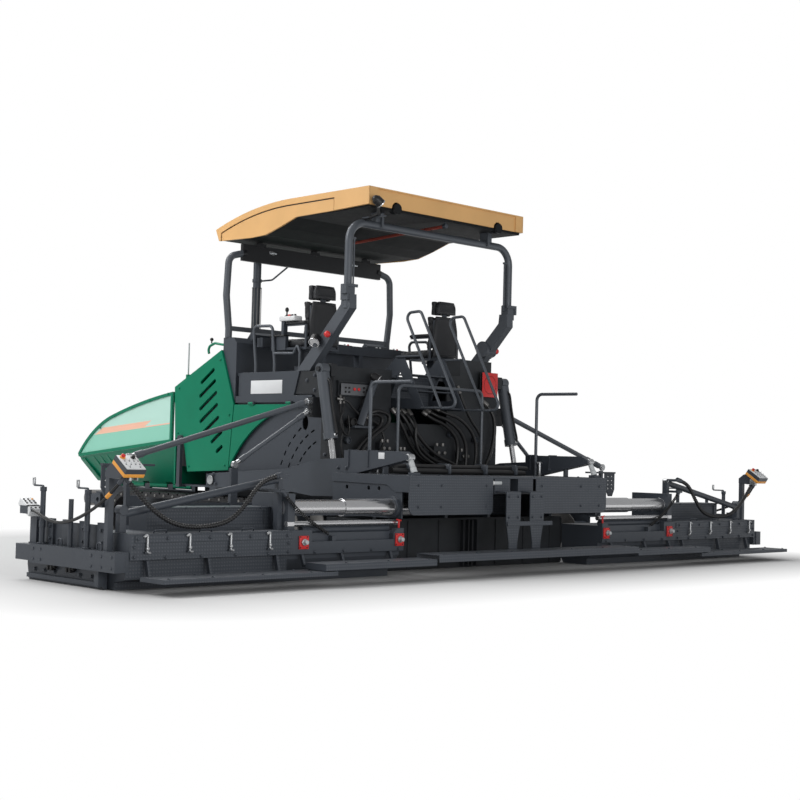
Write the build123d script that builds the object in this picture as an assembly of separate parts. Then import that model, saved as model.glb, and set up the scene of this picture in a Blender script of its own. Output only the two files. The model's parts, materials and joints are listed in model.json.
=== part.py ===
from build123d import *
import math
import os

# Asphalt paver on crawler tracks with a screed extended to nine metres.
# Row axes: +X to the machine's right, +Y the way it drives, +Z up, in millimetres.
# The origin lies on the ground, below the middle of the machine's length.

# ---- overall ----
LENGTH = 6900
FRONT = LENGTH / 2
REAR = -LENGTH / 2
FIT = 0.3           # radial play of a pin in its eye
SEAT = 0.3          # gap between pieces that rest on one another
GAP = 12            # running gap beside a moving piece

# ---- tractor body ----
BODY_X = 1250       # half width over the side panels
SKIN = 25           # thickness of doors, panels and covers
INSIDE_X = BODY_X - SKIN - SEAT
PLATE = 20          # thickness of frame plates
FRAME_X = 800       # half width over the main frame's side plates
FRAME_Z0 = 290      # underside of the main frame
FRAME_Z1 = 640      # top edge of the main frame's side plates
DECK_Z = 730        # top of the plate over the tracks
TUNNEL_X = 670      # half width of the tunnel mouth
FLOOR_Z = 1950      # top of the operators' floor
BULK_Y = REAR + 1767        # rear face of the tractor's rear bulkhead
CONSOLE_Y0 = -113   # rear face of the front console
CONSOLE_Y1 = 117    # front face of the front console
NOSE_Y = 947        # front face of the hood, at the hopper's back
CONSOLE_Z = 2340    # top of the front console
DOOR_HINGE_X = 1262
DOOR_HINGE_Z = 1624
DOOR_HINGE_Y = (-1040, -430)

# ---- tracks ----
TRACK_R = 310       # outer radius of the track round its wheels, over the shoes
TRACK_T = 62        # thickness of chain and shoe
TRACK_X0 = 930
TRACK_X1 = 1230
TRACK_Y0 = REAR + 2490      # centre of the sprocket
TRACK_Y1 = FRONT - 1570     # centre of the idler
SHOES = 45
TEETH = 15

# ---- hopper ----
HOP_Y0 = NOSE_Y + 18        # rear edge of the wings
HOP_Y1 = FRONT - 602        # front end of the wings' lower edge
HINGE_X = 900       # wing hinge line
HINGE_Z = 690
HINGE_PITCH = (HOP_Y1 - HOP_Y0 - 43) / 4
PIN_R = 15          # wing hinge pin
KNUCKLE_R = 30
WING_T = 20         # wing plate thickness
WING_LOW0 = 1192    # lower edge of the wing's outer wall, at its rear
WING_LOW1 = 999     # and at its front
APRON_X = 755       # half width over the hopper's front flap and its pin
APRON_Y = HOP_Y1 + 22       # hinge line of the hopper's front flap
APRON_Z = 655

# ---- front bar and rollers ----
ROLLER_R = 100
ROLLER_Y = FRONT - ROLLER_R
ROLLER_Z = 480
ROLLER_X0 = 130
ROLLER_X1 = 780
BAR_Y0 = ROLLER_Y - 420     # rear face of the cross beam
BAR_Y1 = ROLLER_Y - 280
BAR_X = 850         # half length of the cross beam
EAR_T = 24          # thickness of its end plates
EYE_R = 30          # hole of the tie-down eyes on the front bar

# ---- tow arms and lift cylinders ----
ARM_X0 = 1300
ARM_X1 = 1410
TOW_Y = 17
TOW_Z = 800
TOW_PIN_R = 35
LIFT_X = (ARM_X0 + ARM_X1) / 2
LIFT_TOP = (BULK_Y + 30, FLOOR_Z)   # y, z of the barrel's pin on the tractor
LIFT_EYE = (REAR + 1580, 960)       # y, z of the rod's pin on the tow arm
LIFT_PIN_R = 25
EYE_PLAY = 5                # the rod's eye is this much wider than its pin
BARREL_R = 65
LROD_R = 30

# ---- auger ----
AUGER_Y = REAR + 1797
AUGER_Z = 340
AUGER_R = 200
AUGER_X0 = 150
AUGER_X1 = 2900
AUGER_PITCH = 340
FLIGHT_STEPS = 14   # flat pieces in one turn of the flight
SHAFT_R = 50
LIMIT_Y = AUGER_Y + 220     # rear face of the plates in front of the auger
LIMIT_X1 = 3500
FRAME_Y0 = LIMIT_Y + 13     # rear end of the main frame

# ---- brace rods ----
BRACE_X = 1425
BRACE_Y = BULK_Y + 120
BRACE_Z = 1620
LONG_END = (3480, LIMIT_Y - 15, 1030)
SHORT_END = (2270, LIMIT_Y - 15, 985)

# ---- screed ----
BASE_X = 1480       # half width of the basic screed
BOX_Y0 = REAR + 1037        # rear face of the basic screed box
BOX_Y1 = BOX_Y0 + 480
BOX_Z1 = 500
DECK_Y0 = REAR + 418        # rear face of the deck
DECK_Y1 = DECK_Y0 + 1059
DECK_TOP = 931
PANEL_Z0 = 565      # lower edge of the rear panels
PANEL_X0 = 324      # inner edge of the rear panels
WALK_X = 1500       # half width of the centre footboard
WALK_Z = 232        # its top
WALK_Z0 = 165       # lower edge of its skirts
WALK_DEPTH = 285
BRACKET_Y = REAR + WALK_DEPTH - 7   # folded brackets that hold the footboard

# ---- screed extension, right side ----
TRAVEL = 1250       # stroke of the hydraulic extension
TRAVEL_SLEEVE = TRAVEL / 2
EXT_X0 = 1492       # inner end of the hydraulic unit
BOLT_X0 = 2843      # inner end of the bolted-on box
EXT_X1 = 4487       # outer end of the boxes
EXT_Y0 = REAR + 467         # rear face of the boxes
EXT_Y1 = EXT_Y0 + 550       # front face of the boxes
SHOE_Y0 = EXT_Y0 + 200      # trailing edge of the screed plate
BOXR_Z0 = 244       # lower edge of the rear faces
BOXR_Z1 = 449       # upper edge of the rear faces
STEP_Z = 640        # raised part of the bolted-on box
STEP_X1 = 4130
STEP_Y = EXT_Y0 + 300
TUBE_Y = EXT_Y0 + 171       # telescopic guide tube
TUBE_Z = 634
TUBE_R = 70
SLEEVE_R = 80
SLEEVE_T = 9
TUBE_X1 = 2764
RAIL_Y = EXT_Y0 + 80        # lower guide rod
RAIL_Z = 500
RAIL_R = 25
POST_Y = EXT_Y0 + 150       # inner post of the support arm
SOCKETS_X = (EXT_X0 + 10, TUBE_X1 - 102)    # inner ends of the cable sockets
BOARD_X = 2850      # joint between the two footboards of one side
BOARD_Z = 194       # top of the inner footboard
TIP_Z = 130         # top of the outer footboard
GATE_X0 = 4500      # end gate plate
GATE_X1 = 4530
BEAM_X1 = 4625      # outer face of the end gate's beam
BEAM_Z0 = 150
BEAM_Z1 = 307
BEAM_Y1 = EXT_Y0 + 1238     # front end of the end gate's beam
TIP_Y1 = BEAM_Y1 + 250      # and of its slimmer tip
CRANKS_Y = (BEAM_Y1 - 82, BEAM_Y1 - 750)    # crank posts on the beam

# ---- cab frame and canopy ----
REAR_HOOP_Y = BULK_Y - 150
FRONT_HOOP_Y = 67
CANOPY_X = 1172
CANOPY_Y0 = REAR_HOOP_Y - 230
CANOPY_Y1 = 383
CANOPY_Z = 3768
CANOPY_T = 28
LINER_Z0 = CANOPY_Z - 206   # underside of the headliner at the rear
LINER_Z1 = CANOPY_Z - 346   # and over the windscreen hoop

# ---- cords: corner points in order, lying free between their ends ----
CONDUIT_R = 21
CONDUIT_Y = EXT_Y0 + 53
CONDUIT = ((3000, CONDUIT_Y, 905), (3110, CONDUIT_Y, 880), (3210, CONDUIT_Y, 800), (3320, CONDUIT_Y, 665),
           (3450, CONDUIT_Y, 550), (3620, CONDUIT_Y, 500), (3850, CONDUIT_Y, 488), (4050, CONDUIT_Y, 520),
           (4220, CONDUIT_Y, 610), (4370, CONDUIT_Y, 735), (4480, CONDUIT_Y, 850))
LEVER_R = 15
LEVER_Y = EXT_Y0 + 28
LEVER = ((2900, LEVER_Y, 745), (2800, LEVER_Y, 650), (2650, LEVER_Y, 545), (2500, LEVER_Y, 460),
         (2400, LEVER_Y, 412))
GATE_R = 13
GATE_X = 4610
GATE = ((4560, EXT_Y0 + 78, 835), (4595, EXT_Y0 + 148, 748), (GATE_X, EXT_Y0 + 278, 660),
        (GATE_X, EXT_Y0 + 448, 585), (GATE_X, EXT_Y0 + 643, 520), (GATE_X, EXT_Y0 + 843, 492),
        (GATE_X, EXT_Y0 + 1023, 518), (GATE_X, EXT_Y0 + 1158, 560), (GATE_X, BEAM_Y1 + 5, 580))


def block(x0, x1, y0, y1, z0, z1):
    size = (abs(x1 - x0), abs(y1 - y0), abs(z1 - z0))
    return Pos((x0 + x1) / 2, (y0 + y1) / 2, (z0 + z1) / 2) * Box(*size)


def side_plate(face, x0, x1):
    """A face drawn in (y, z), made solid from x0 to x1."""
    return extrude(Plane.YZ.offset(x0) * face, amount=x1 - x0)


def cross_plate(face, y0, y1):
    """A face drawn in (x, z), made solid from y0 to y1."""
    plane = Plane(origin=(0, y1, 0), x_dir=(1, 0, 0), z_dir=(0, -1, 0))
    return extrude(plane * face, amount=y1 - y0)


def outline(*points):
    return make_face(Polyline(*points, close=True))


def bar(p, q, r):
    """A round bar between two points."""
    p = Vector(*p)
    q = Vector(*q)
    plane = Plane(origin=p, z_dir=q - p)
    return extrude(plane * Circle(r), amount=(q - p).length)


def pipe(points, r, bend):
    """A bent tube through the points, with one bend radius."""
    path = FilletPolyline(*points, radius=bend)
    return sweep(Plane(origin=path @ 0, z_dir=path % 0) * Circle(r), path=path)


def bend_radii(points):
    """The widest bend at each inner corner that leaves a tenth of its shorter run straight."""
    radii = []
    for a, b, c in zip(points, points[1:], points[2:]):
        first = Vector(*b) - Vector(*a)
        second = Vector(*c) - Vector(*b)
        turn = math.radians(first.get_angle(second))
        radii.append(0.45 * min(first.length, second.length) / math.tan(turn / 2))
    return radii


def cord(points, r):
    """A cord's tube, laid through its corner points."""
    path = FilletPolyline(*points, radius=bend_radii(points))
    return sweep(Plane(origin=path @ 0, z_dir=path % 0) * Circle(r), path=path)


def gland(end, before, r, length):
    """The plug that meets a cord's end face and runs on in its direction."""
    end = Vector(*end)
    way = (end - Vector(*before)).normalized()
    return bar(end + way * SEAT, end + way * length, r)


def disc_x(x0, x1, y, z, r):
    return extrude(Plane.YZ.offset(x0) * Pos(y, z) * Circle(r), amount=x1 - x0)


def disc_y(x, y0, y1, z, r):
    return bar((x, y0, z), (x, y1, z), r)


def cushion(x0, x1, y0, y1, z0, z1, r):
    solid = block(x0, x1, y0, y1, z0, z1)
    return fillet(solid.edges(), r)


def left(part):
    return mirror(part, about=Plane.YZ)


def both(part):
    return part + left(part)


def save(name, part):
    export_step(part, f"parts/{name}.step")


def save_sides(name, part):
    """One piece on the right of the machine and its mirror image on the left."""
    save(name + "_right", part)
    save(name + "_left", left(part))


# ---------------------------------------------------------------- tractor
def track():
    """One track: a closed loop of chain with flat shoes, cut between the shoes."""
    middle = (TRACK_Y0 + TRACK_Y1) / 2
    run = TRACK_Y1 - TRACK_Y0
    outer = Pos(middle, TRACK_R) * SlotCenterToCenter(run, 2 * TRACK_R)
    inner = Pos(middle, TRACK_R) * SlotCenterToCenter(run, 2 * (TRACK_R - TRACK_T))
    loop = outer - inner
    arc = math.pi * TRACK_R
    pitch = 2 * (run + arc) / SHOES
    notch = Rectangle(26, 44)
    cuts = []
    for i in range(SHOES):
        s = (i + 0.5) * pitch
        if s < run:
            cuts.append(Pos(TRACK_Y0 + s, 0) * notch)
        elif s < run + arc:
            turn = (s - run) / TRACK_R
            cuts.append(Pos(TRACK_Y1, TRACK_R) * Rot(0, 0, math.degrees(turn)) * Pos(0, -TRACK_R) * notch)
        elif s < 2 * run + arc:
            cuts.append(Pos(TRACK_Y1 - (s - run - arc), 2 * TRACK_R) * notch)
        else:
            turn = math.pi + (s - 2 * run - arc) / TRACK_R
            cuts.append(Pos(TRACK_Y0, TRACK_R) * Rot(0, 0, math.degrees(turn)) * Pos(0, -TRACK_R) * notch)
    return side_plate(loop - cuts, TRACK_X0, TRACK_X1)


def track_frame():
    """Side beam with toothed sprocket, idler, six lower and two upper rollers."""
    mid_x = (TRACK_X0 + TRACK_X1) / 2
    inner_r = TRACK_R - TRACK_T
    beam = block(mid_x - 70, mid_x + 70, TRACK_Y0 + 330, TRACK_Y1 - 260, 190, 420)
    fork = block(mid_x - 70, mid_x - 45, TRACK_Y1 - 260, TRACK_Y1 + 60, 250, 370)
    fork += block(mid_x + 45, mid_x + 70, TRACK_Y1 - 260, TRACK_Y1 + 60, 250, 370)
    idler = disc_x(mid_x - 45, mid_x + 45, TRACK_Y1, TRACK_R, inner_r - SEAT)
    idler += disc_x(mid_x - 60, mid_x + 60, TRACK_Y1, TRACK_R, 70)
    sprocket = disc_x(mid_x - 40, mid_x + 40, TRACK_Y0, TRACK_R, inner_r - SEAT)
    for i in range(TEETH):
        turn = 2 * math.pi * (i + 0.5) / TEETH
        y = TRACK_Y0 + inner_r * math.sin(turn)
        z = TRACK_R - inner_r * math.cos(turn)
        sprocket -= disc_x(mid_x - 41, mid_x + 41, y, z, 26)
    drive = disc_x(FRAME_X, mid_x + 60, TRACK_Y0, TRACK_R, 150)
    arm = block(mid_x - 70, mid_x - 45, TRACK_Y0, TRACK_Y0 + 330, 230, 390)
    frame = beam + fork + idler + sprocket + drive + arm
    roller_r = 75
    count = 6
    first = TRACK_Y0 + 420
    last = TRACK_Y1 - 400
    for i in range(count):
        y = first + (last - first) * i / (count - 1)
        frame += disc_x(mid_x - 80, mid_x + 80, y, TRACK_T + roller_r + SEAT, roller_r)
    for y in (TRACK_Y0 + 900, TRACK_Y1 - 900):
        z = 2 * TRACK_R - TRACK_T - 45 - SEAT
        frame += disc_x(mid_x - 80, mid_x + 80, y, z, 45)
        frame += block(mid_x - 30, mid_x + 30, y - 40, y + 40, 400, z)
    for y in (TRACK_Y0 + 500, TRACK_Y1 - 500):
        frame += block(FRAME_X, mid_x - 60, y - 120, y + 120, 300, 410)
    return frame


def chassis():
    """Main frame: two side plates, cross members, plate over the tracks and tunnel roof."""
    side = block(FRAME_X - PLATE, FRAME_X, FRAME_Y0, APRON_Y, FRAME_Z0, FRAME_Z1)
    side += block(FRAME_X - PLATE, FRAME_X, FRAME_Y0, NOSE_Y - PLATE - SEAT, FRAME_Z1, 900)
    side += block(FRAME_X - PLATE, 1215, FRAME_Y0, NOSE_Y - PLATE - SEAT, DECK_Z - 20, DECK_Z)
    # upright with a round head below the front edge of the side panel
    side += block(1190, ARM_X0 - 10, 757, 813, DECK_Z - 30, DECK_Z)
    side += block(1252, ARM_X0 - 10, 757, 813, DECK_Z, 1235)
    side += disc_x(1252, ARM_X0 - 10, 785, 1235, 40)
    frame = both(side)
    frame += block(-FRAME_X, FRAME_X, FRAME_Y0, APRON_Y, FRAME_Z0, FRAME_Z0 + 15)
    frame += block(-FRAME_X, FRAME_X, FRAME_Y0, NOSE_Y - PLATE - SEAT, 885, 900)
    return frame


def engine():
    """The engine and pump block, inside the hood."""
    return block(-520, 640, 180, 860, 900, 1700)


def conveyor():
    """Two slat conveyors that carry the mix from the hopper to the auger."""
    y0 = FRAME_Y0 + 20
    y1 = APRON_Y - 70
    top = FRAME_Z0 + 255
    half = block(25, FRAME_X - PLATE - SEAT, y0, y1, top - 15, top)
    half += block(25, 45, y0, y1, top, top + 45)
    half += block(735, 755, y0, y1, top, top + 45)
    slats = int((y1 - y0) / 300)
    for i in range(slats):
        y = y0 + 70 + i * 300
        half += block(45, 735, y, y + 45, top, top + 30)
    half += block(FRAME_X - PLATE - 60, FRAME_X - PLATE - SEAT, y0, y1, FRAME_Z0 + 15 + SEAT, top - 15)
    return both(half) + block(-25, 25, y0, y1, top - 15, top + 45)


def hood():
    """Sloping hood over the engine with its front wall behind the hopper."""
    top = outline((CONSOLE_Y1, 2206), (NOSE_Y, 1816), (NOSE_Y, 1786), (CONSOLE_Y1, 2170))
    front = block(-INSIDE_X, INSIDE_X, NOSE_Y - PLATE, NOSE_Y, DECK_Z, 1795)
    front -= block(-TUNNEL_X, TUNNEL_X, NOSE_Y - 2 * PLATE, NOSE_Y + PLATE, DECK_Z - PLATE, 880)
    solid = side_plate(top, -INSIDE_X, INSIDE_X) + front
    slope = (2206 - 1816) / (NOSE_Y - CONSOLE_Y1)
    for x in (-760, 700):
        for y in (420, 560, 700):
            z = 2206 - slope * (y - CONSOLE_Y1)
            solid += block(x - 160, x + 160, y - 25, y + 25, z - 30, z + 22)
    return solid


def side_panel():
    """Louvred side panel with seven slanted slots."""
    panel = outline((CONSOLE_Y1, 2206), (NOSE_Y, 1816), (913, 1254), (737, 1170), (667, 873), (-55, 906),
                    (-120, 1620))
    solid = side_plate(panel, BODY_X - SKIN, BODY_X)
    slots = ((250, 1925, 520), (225, 1790, 620), (200, 1655, 660), (180, 1520, 680), (150, 1385, 660),
             (80, 1260, 420), (60, 1130, 240))
    for y, z, length in slots:
        cut = Pos(y + 0.195 * length, z) * Rot(0, 0, -33) * SlotOverall(length * 0.55, 42)
        solid -= side_plate(cut, BODY_X - 2 * SKIN, BODY_X + 5)
    return solid


def side_door():
    """Green door beside the tunnel, hung from two hinges on its top edge."""
    y0 = BULK_Y + 468
    edge = Polyline((-55 - GAP, 930), (-120 - GAP, 1610), (y0 + 10, 1610), (y0, 1585))
    arc = ThreePointArc((y0, 1585), (-480, 1360), (-55 - GAP, 930))
    solid = side_plate(make_face(edge + arc), BODY_X - SKIN, BODY_X)
    for y in DOOR_HINGE_Y:
        solid += block(BODY_X - 10, DOOR_HINGE_X, y - 36, y + 36, 1600, 1620)
        solid += disc_y(DOOR_HINGE_X, y - 36, y + 36, DOOR_HINGE_Z, 13)
    return solid - disc_y(DOOR_HINGE_X, y0, -200, DOOR_HINGE_Z, 7 + FIT)


def side_cover():
    """Grey side plate behind the door with rows of slots and an oval hole."""
    y0 = BULK_Y + 23
    face = outline((y0, DECK_Z + SEAT), (-60, DECK_Z + SEAT), (-140, 1600), (y0, 1600))
    solid = side_plate(face, 1195, 1210)
    solid -= side_plate(Pos(y0 + 410, 1420) * Ellipse(45, 75), 1190, 1215)
    centre = (y0 - 40, 650)
    for radius, first, last, count in ((640, 30, 62, 5), (760, 26, 64, 6), (880, 24, 60, 6)):
        for i in range(count):
            turn = first + (last - first) * i / (count - 1)
            dash = Pos(*centre) * Rot(0, 0, turn) * Pos(radius, 0) * Rot(0, 0, 90) * SlotOverall(60, 18)
            solid -= side_plate(dash, 1190, 1215)
    return solid


def platform():
    """Operators' floor with its side boxes."""
    floor = block(-1200, 1200, BULK_Y + 40, CONSOLE_Y0 - SEAT, FLOOR_Z - 30, FLOOR_Z)
    floor -= block(-312 - SEAT, 312 + SEAT, BULK_Y, BULK_Y + 253 + SEAT, 1900, 2000)
    y0 = BULK_Y + 503
    box = outline((-240, 1700), (-240, FLOOR_Z), (y0, FLOOR_Z), (y0 + 80, 1700))
    side = side_plate(box, 1120, BODY_X - 2)
    strip = block(1150, BODY_X - 2, BULK_Y + 300, -150, 1630, 1700)
    wall = block(1195, 1210, BULK_Y + 43, -150, 1600 + SEAT, FLOOR_Z - 30)
    side += strip + wall
    for y in DOOR_HINGE_Y:
        side += disc_y(DOOR_HINGE_X, y - 50, y + 50, DOOR_HINGE_Z, 7)
        side += block(1230, 1270, y - 50, y - 38, 1612, 1640)
        side += block(1230, 1270, y + 38, y + 50, 1612, 1640)
    return floor + both(side)


def front_console():
    """Dash wall across the front of the operators' floor, with two instrument pods."""
    wall = outline((CONSOLE_Y0, 1640), (CONSOLE_Y0, CONSOLE_Z - 60), (CONSOLE_Y0 + 60, CONSOLE_Z),
                   (CONSOLE_Y1 - SEAT, CONSOLE_Z), (CONSOLE_Y1 - SEAT, 1640))
    solid = side_plate(wall, -INSIDE_X, INSIDE_X)
    pod = outline((CONSOLE_Y0 + 30, CONSOLE_Z - 30), (CONSOLE_Y0 - 20, CONSOLE_Z + 40), (CONSOLE_Y0 + 40, CONSOLE_Z + 70),
                  (CONSOLE_Y0 + 110, CONSOLE_Z - 5))
    solid += both(side_plate(pod, 700, 1000))
    # green mirror hoop and aerial stand at the left front corner
    hoop = pipe(((-1200, 117 - 20, CONSOLE_Z - 80), (-1200, 300, CONSOLE_Z - 50), (-1200, 430, CONSOLE_Z - 90),
                 (-1200, 400, CONSOLE_Z - 160)), 14, 55)
    return solid + hoop


def rear_bulkhead():
    """Wall at the tractor's rear, over the tunnel mouth, with a control panel and a side locker."""
    wall = block(-1234, 1234, BULK_Y, BULK_Y + 20, 900 + SEAT, FLOOR_Z + 40)
    wall -= block(-420, 420, BULK_Y - 5, BULK_Y + 40, 1450, FLOOR_Z + 60)
    wall += block(620, 1130, BULK_Y, BULK_Y + 400, FLOOR_Z + SEAT, 2170)
    # control panel on the left
    wall += block(-1190, -780, BULK_Y - 30, BULK_Y, 1690, 1830)
    wall += block(-1200, -770, BULK_Y - 45, BULK_Y, 1830, 1845)
    # plate for the round sign and the lamp post beside it
    wall += block(900, 1160, BULK_Y - 50, BULK_Y - 35, 1775, 2050)
    wall += block(1000, 1060, BULK_Y - 35, BULK_Y, 1860, 1960)
    wall += bar((-887, BULK_Y - 30, 1545), (-690, BULK_Y - 100, 1870), 24)
    wall += block(-911, -863, BULK_Y - 50, BULK_Y, 1500, 1560)
    # hydraulic valves low on the wall
    for x, z, w, h in ((-560, 1180, 150, 120), (-300, 1120, 110, 90), (260, 1150, 180, 140), (640, 1120, 140, 100)):
        wall += block(x - w / 2, x + w / 2, BULK_Y - 70, BULK_Y, z - h / 2, z + h / 2)
    return wall


def side_mounts():
    """Bracket on the tractor's side for one lift cylinder, the brace rods and the tow pin."""
    y = LIFT_TOP[0]
    z = LIFT_TOP[1]
    mount = block(1212, ARM_X0 - 12, y - 55, y + 55, z - 70, z + 60)
    face = outline((BULK_Y, 900 + SEAT), (BULK_Y, z + 60), (y + 55, z + 60), (y + 62, z - 5), (BULK_Y + 493, z - 5),
                   (BULK_Y + 573, 1712), (BULK_Y + 290, 1712), (BULK_Y + 190, 1640), (BULK_Y + 163, 1540),
                   (BULK_Y + 163, 900 + SEAT))
    mount += side_plate(face, 1212, 1234)
    mount += disc_x(ARM_X0 - 12, ARM_X1 + 15, y, z, LIFT_PIN_R)
    mount += block(1212, BRACE_X, BRACE_Y - 40, BRACE_Y + 40, BRACE_Z - 150, BRACE_Z + 50)
    return mount


def tow_mount():
    """Guide plate on the tractor's side with the pin that pulls the tow arm."""
    plate = block(1255, 1285, TOW_Y - 190, TOW_Y + 190, 660, 865)
    plate += block(1190, 1255, TOW_Y - 190, TOW_Y + 190, 660, 730)
    plate += disc_x(1285, ARM_X1 + 20, TOW_Y, TOW_Z, TOW_PIN_R)
    return plate


def brace_rods():
    """Two rods on each side that stay the plates in front of the auger."""
    start = Vector(BRACE_X + 25, BRACE_Y, BRACE_Z)
    low = Vector(BRACE_X + 25, BRACE_Y, BRACE_Z - 95)
    rods = []
    for top, end, r in ((start, Vector(*LONG_END), 28), (low, Vector(*SHORT_END), 22)):
        way = (end - top).normalized()
        rods.append(bar(top, end, r))
        rods.append(bar(top + way * 70, top + way * 150, r + 7))
        rods.append(bar(end - way * 150, end - way * 70, r + 7))
        rods.append(disc_x(BRACE_X + SEAT, BRACE_X + 50, top.Y, top.Z, r + 8))
        rods.append(disc_y(end.X, end.Y - 24, end.Y + 10, end.Z, r + 12))
    return Part() + rods


def limit_plates():
    """Plates in front of the auger, with the outer bearing of the auger."""
    z0 = 120
    face = outline((FRAME_X + SEAT, z0), (3180, z0), (3180, 420), (LIMIT_X1, 420), (LIMIT_X1, 690), (3300, 690),
                   (3250, 620), (1500, 620), (1440, 560), (FRAME_X + SEAT, 560))
    plate = cross_plate(face, LIMIT_Y, LIMIT_Y + 15)
    for x in (1600, 2270, 2900):
        plate += block(x - 8, x + 8, LIMIT_Y + 15, LIMIT_Y + 90, z0, 600)
    plate += block(2230, 2310, LIMIT_Y - 25, LIMIT_Y + 15, 590, SHORT_END[2] - 35)
    plate += block(3460, LIMIT_X1, LIMIT_Y - 25, LIMIT_Y + 15, 600, LONG_END[2] - 42)
    # perforated bracket outside the long rod's end
    top = 975
    plate += block(LIMIT_X1 - 305, LIMIT_X1 + 255, LIMIT_Y - 25, LIMIT_Y + 15, top - 20, top)
    x = LIMIT_X1 + 60
    horn = outline((x, top - 20), (x, 800), (x + 80, 674), (x + 150, 674), (x + 195, 760), (x + 195, top - 20))
    sheet = cross_plate(horn, LIMIT_Y - 10, LIMIT_Y + 5)
    for i in range(2):
        for z in (770, 820, 870, 920):
            sheet -= disc_y(x + 70 + 75 * i, LIMIT_Y - 11, LIMIT_Y + 6, z, 13)
    plate += sheet
    hanger = block(AUGER_X1 + 8, AUGER_X1 + 30, AUGER_Y - 60, LIMIT_Y, AUGER_Z - 60, 560)
    plate += hanger
    plate += disc_x(AUGER_X1 - 60, AUGER_X1 + 8, AUGER_Y, AUGER_Z, 25)
    return plate


def auger_drive():
    """Gear case in the middle of the auger, with the stubs that carry both halves."""
    case = block(-120, 120, AUGER_Y - 120, LIMIT_Y + 10, 180, 580)
    case += block(-120, 120, LIMIT_Y + 10, FRAME_Y0 + 20 - SEAT, FRAME_Z0, 580)
    case += disc_x(-AUGER_X0 - 60, AUGER_X0 + 60, AUGER_Y, AUGER_Z, 25)
    return case


def flight_section(i):
    """The flight's radial cross-section after i steps of its turn."""
    turn = 2 * math.pi * i / FLIGHT_STEPS
    x = AUGER_X0 + 120 + AUGER_PITCH * i / FLIGHT_STEPS
    plane = Plane(origin=(x, AUGER_Y, AUGER_Z), x_dir=(1, 0, 0), z_dir=(0, -math.sin(turn), math.cos(turn)))
    blade = outline((-11, SHAFT_R - 8), (11, SHAFT_R - 8), (7, AUGER_R), (-7, AUGER_R))
    return plane * blade


def auger():
    """Right half of the auger: hollow shaft wound with a screw flight."""
    shaft = disc_x(AUGER_X0, AUGER_X1, AUGER_Y, AUGER_Z, SHAFT_R)
    turns = int((AUGER_X1 - AUGER_X0 - 200) / AUGER_PITCH)
    shaft += loft([flight_section(i) for i in range(turns * FLIGHT_STEPS + 1)], ruled=True)
    shaft -= disc_x(AUGER_X0 - 1, AUGER_X0 + 80, AUGER_Y, AUGER_Z, 25 + FIT)
    shaft -= disc_x(AUGER_X1 - 80, AUGER_X1 + 1, AUGER_Y, AUGER_Z, 25 + FIT)
    return shaft


def wing_low(y):
    """Height of the wing's lower outer edge at y."""
    return WING_LOW0 + (WING_LOW1 - WING_LOW0) * (y - HOP_Y0) / (HOP_Y1 - HOP_Y0)


def wing_floor(y):
    z = wing_low(y)
    return outline((HINGE_X, HINGE_Z + KNUCKLE_R), (BODY_X - WING_T, z + 25), (BODY_X, z), (HINGE_X + 16, HINGE_Z + 8))


def hopper_wing():
    """Right hopper wing: sloping floor, curved outer wall with its rim, ribs and hinge knuckles."""
    plane = Plane(origin=(0, 0, 0), x_dir=(1, 0, 0), z_dir=(0, -1, 0))
    ends = [plane.offset(-y) * wing_floor(y) for y in (HOP_Y0, HOP_Y1)]
    solid = loft(ends, ruled=True)
    edge = Polyline((HOP_Y0, WING_LOW0), (HOP_Y1, WING_LOW1), (HOP_Y1 + 16, WING_LOW1 + 42))
    edge += ThreePointArc((HOP_Y1 + 16, WING_LOW1 + 42), (HOP_Y1 - 187, 1238), (HOP_Y1 - 639, 1488))
    edge += ThreePointArc((HOP_Y1 - 639, 1488), (HOP_Y1 - 1241, 1647), (HOP_Y0, 1763))
    edge += Line((HOP_Y0, 1763), (HOP_Y0, WING_LOW0))
    wall = make_face(edge)
    rim = wall - offset(wall, -36)
    solid += side_plate(wall, BODY_X - WING_T, BODY_X)
    solid += side_plate(rim, BODY_X - 2, BODY_X + 14)
    # ribs under the floor near the front, and the flange along its front edge
    for y, depth, width in ((HOP_Y1 - 560, 24, 36), (HOP_Y1 - 420, 24, 36), (HOP_Y1 - 280, 24, 36), (HOP_Y1 - 90, 40, 90)):
        z = wing_low(y)
        rib = outline((HINGE_X + 75, HINGE_Z + 85), (BODY_X - 20, z), (BODY_X - 20, z - depth),
                      (HINGE_X + 75, HINGE_Z + 60 - depth))
        solid += cross_plate(rib, y, y + width)
    for i in range(5):
        y = HOP_Y0 + i * HINGE_PITCH
        solid -= disc_y(HINGE_X, y - 60, y + 60, HINGE_Z, 60)
    for i in range(4):
        y = HOP_Y0 + i * HINGE_PITCH
        solid += disc_y(HINGE_X, y + 60, y + HINGE_PITCH - 60, HINGE_Z, KNUCKLE_R)
    solid -= disc_y(HINGE_X, HOP_Y0 - 5, HOP_Y1 + 5, HINGE_Z, PIN_R + FIT)
    return solid


def hopper_hinges():
    """Lugs and pin that carry the right hopper wing on the main frame."""
    solid = disc_y(HINGE_X, HOP_Y0 - 15, HOP_Y0 + 4 * HINGE_PITCH + 50, HINGE_Z, PIN_R)
    for i in range(5):
        y = HOP_Y0 + i * HINGE_PITCH
        y0 = max(y - 50, HOP_Y0 - 15)
        solid += block(HINGE_X - 20, HINGE_X + 20, y0, y + 50, FRAME_Z1, HINGE_Z + 18)
    solid += block(FRAME_X - PLATE, HINGE_X + 20, HOP_Y0 - 18, APRON_Y - 30, FRAME_Z1, FRAME_Z1 + 12)
    return solid


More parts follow.
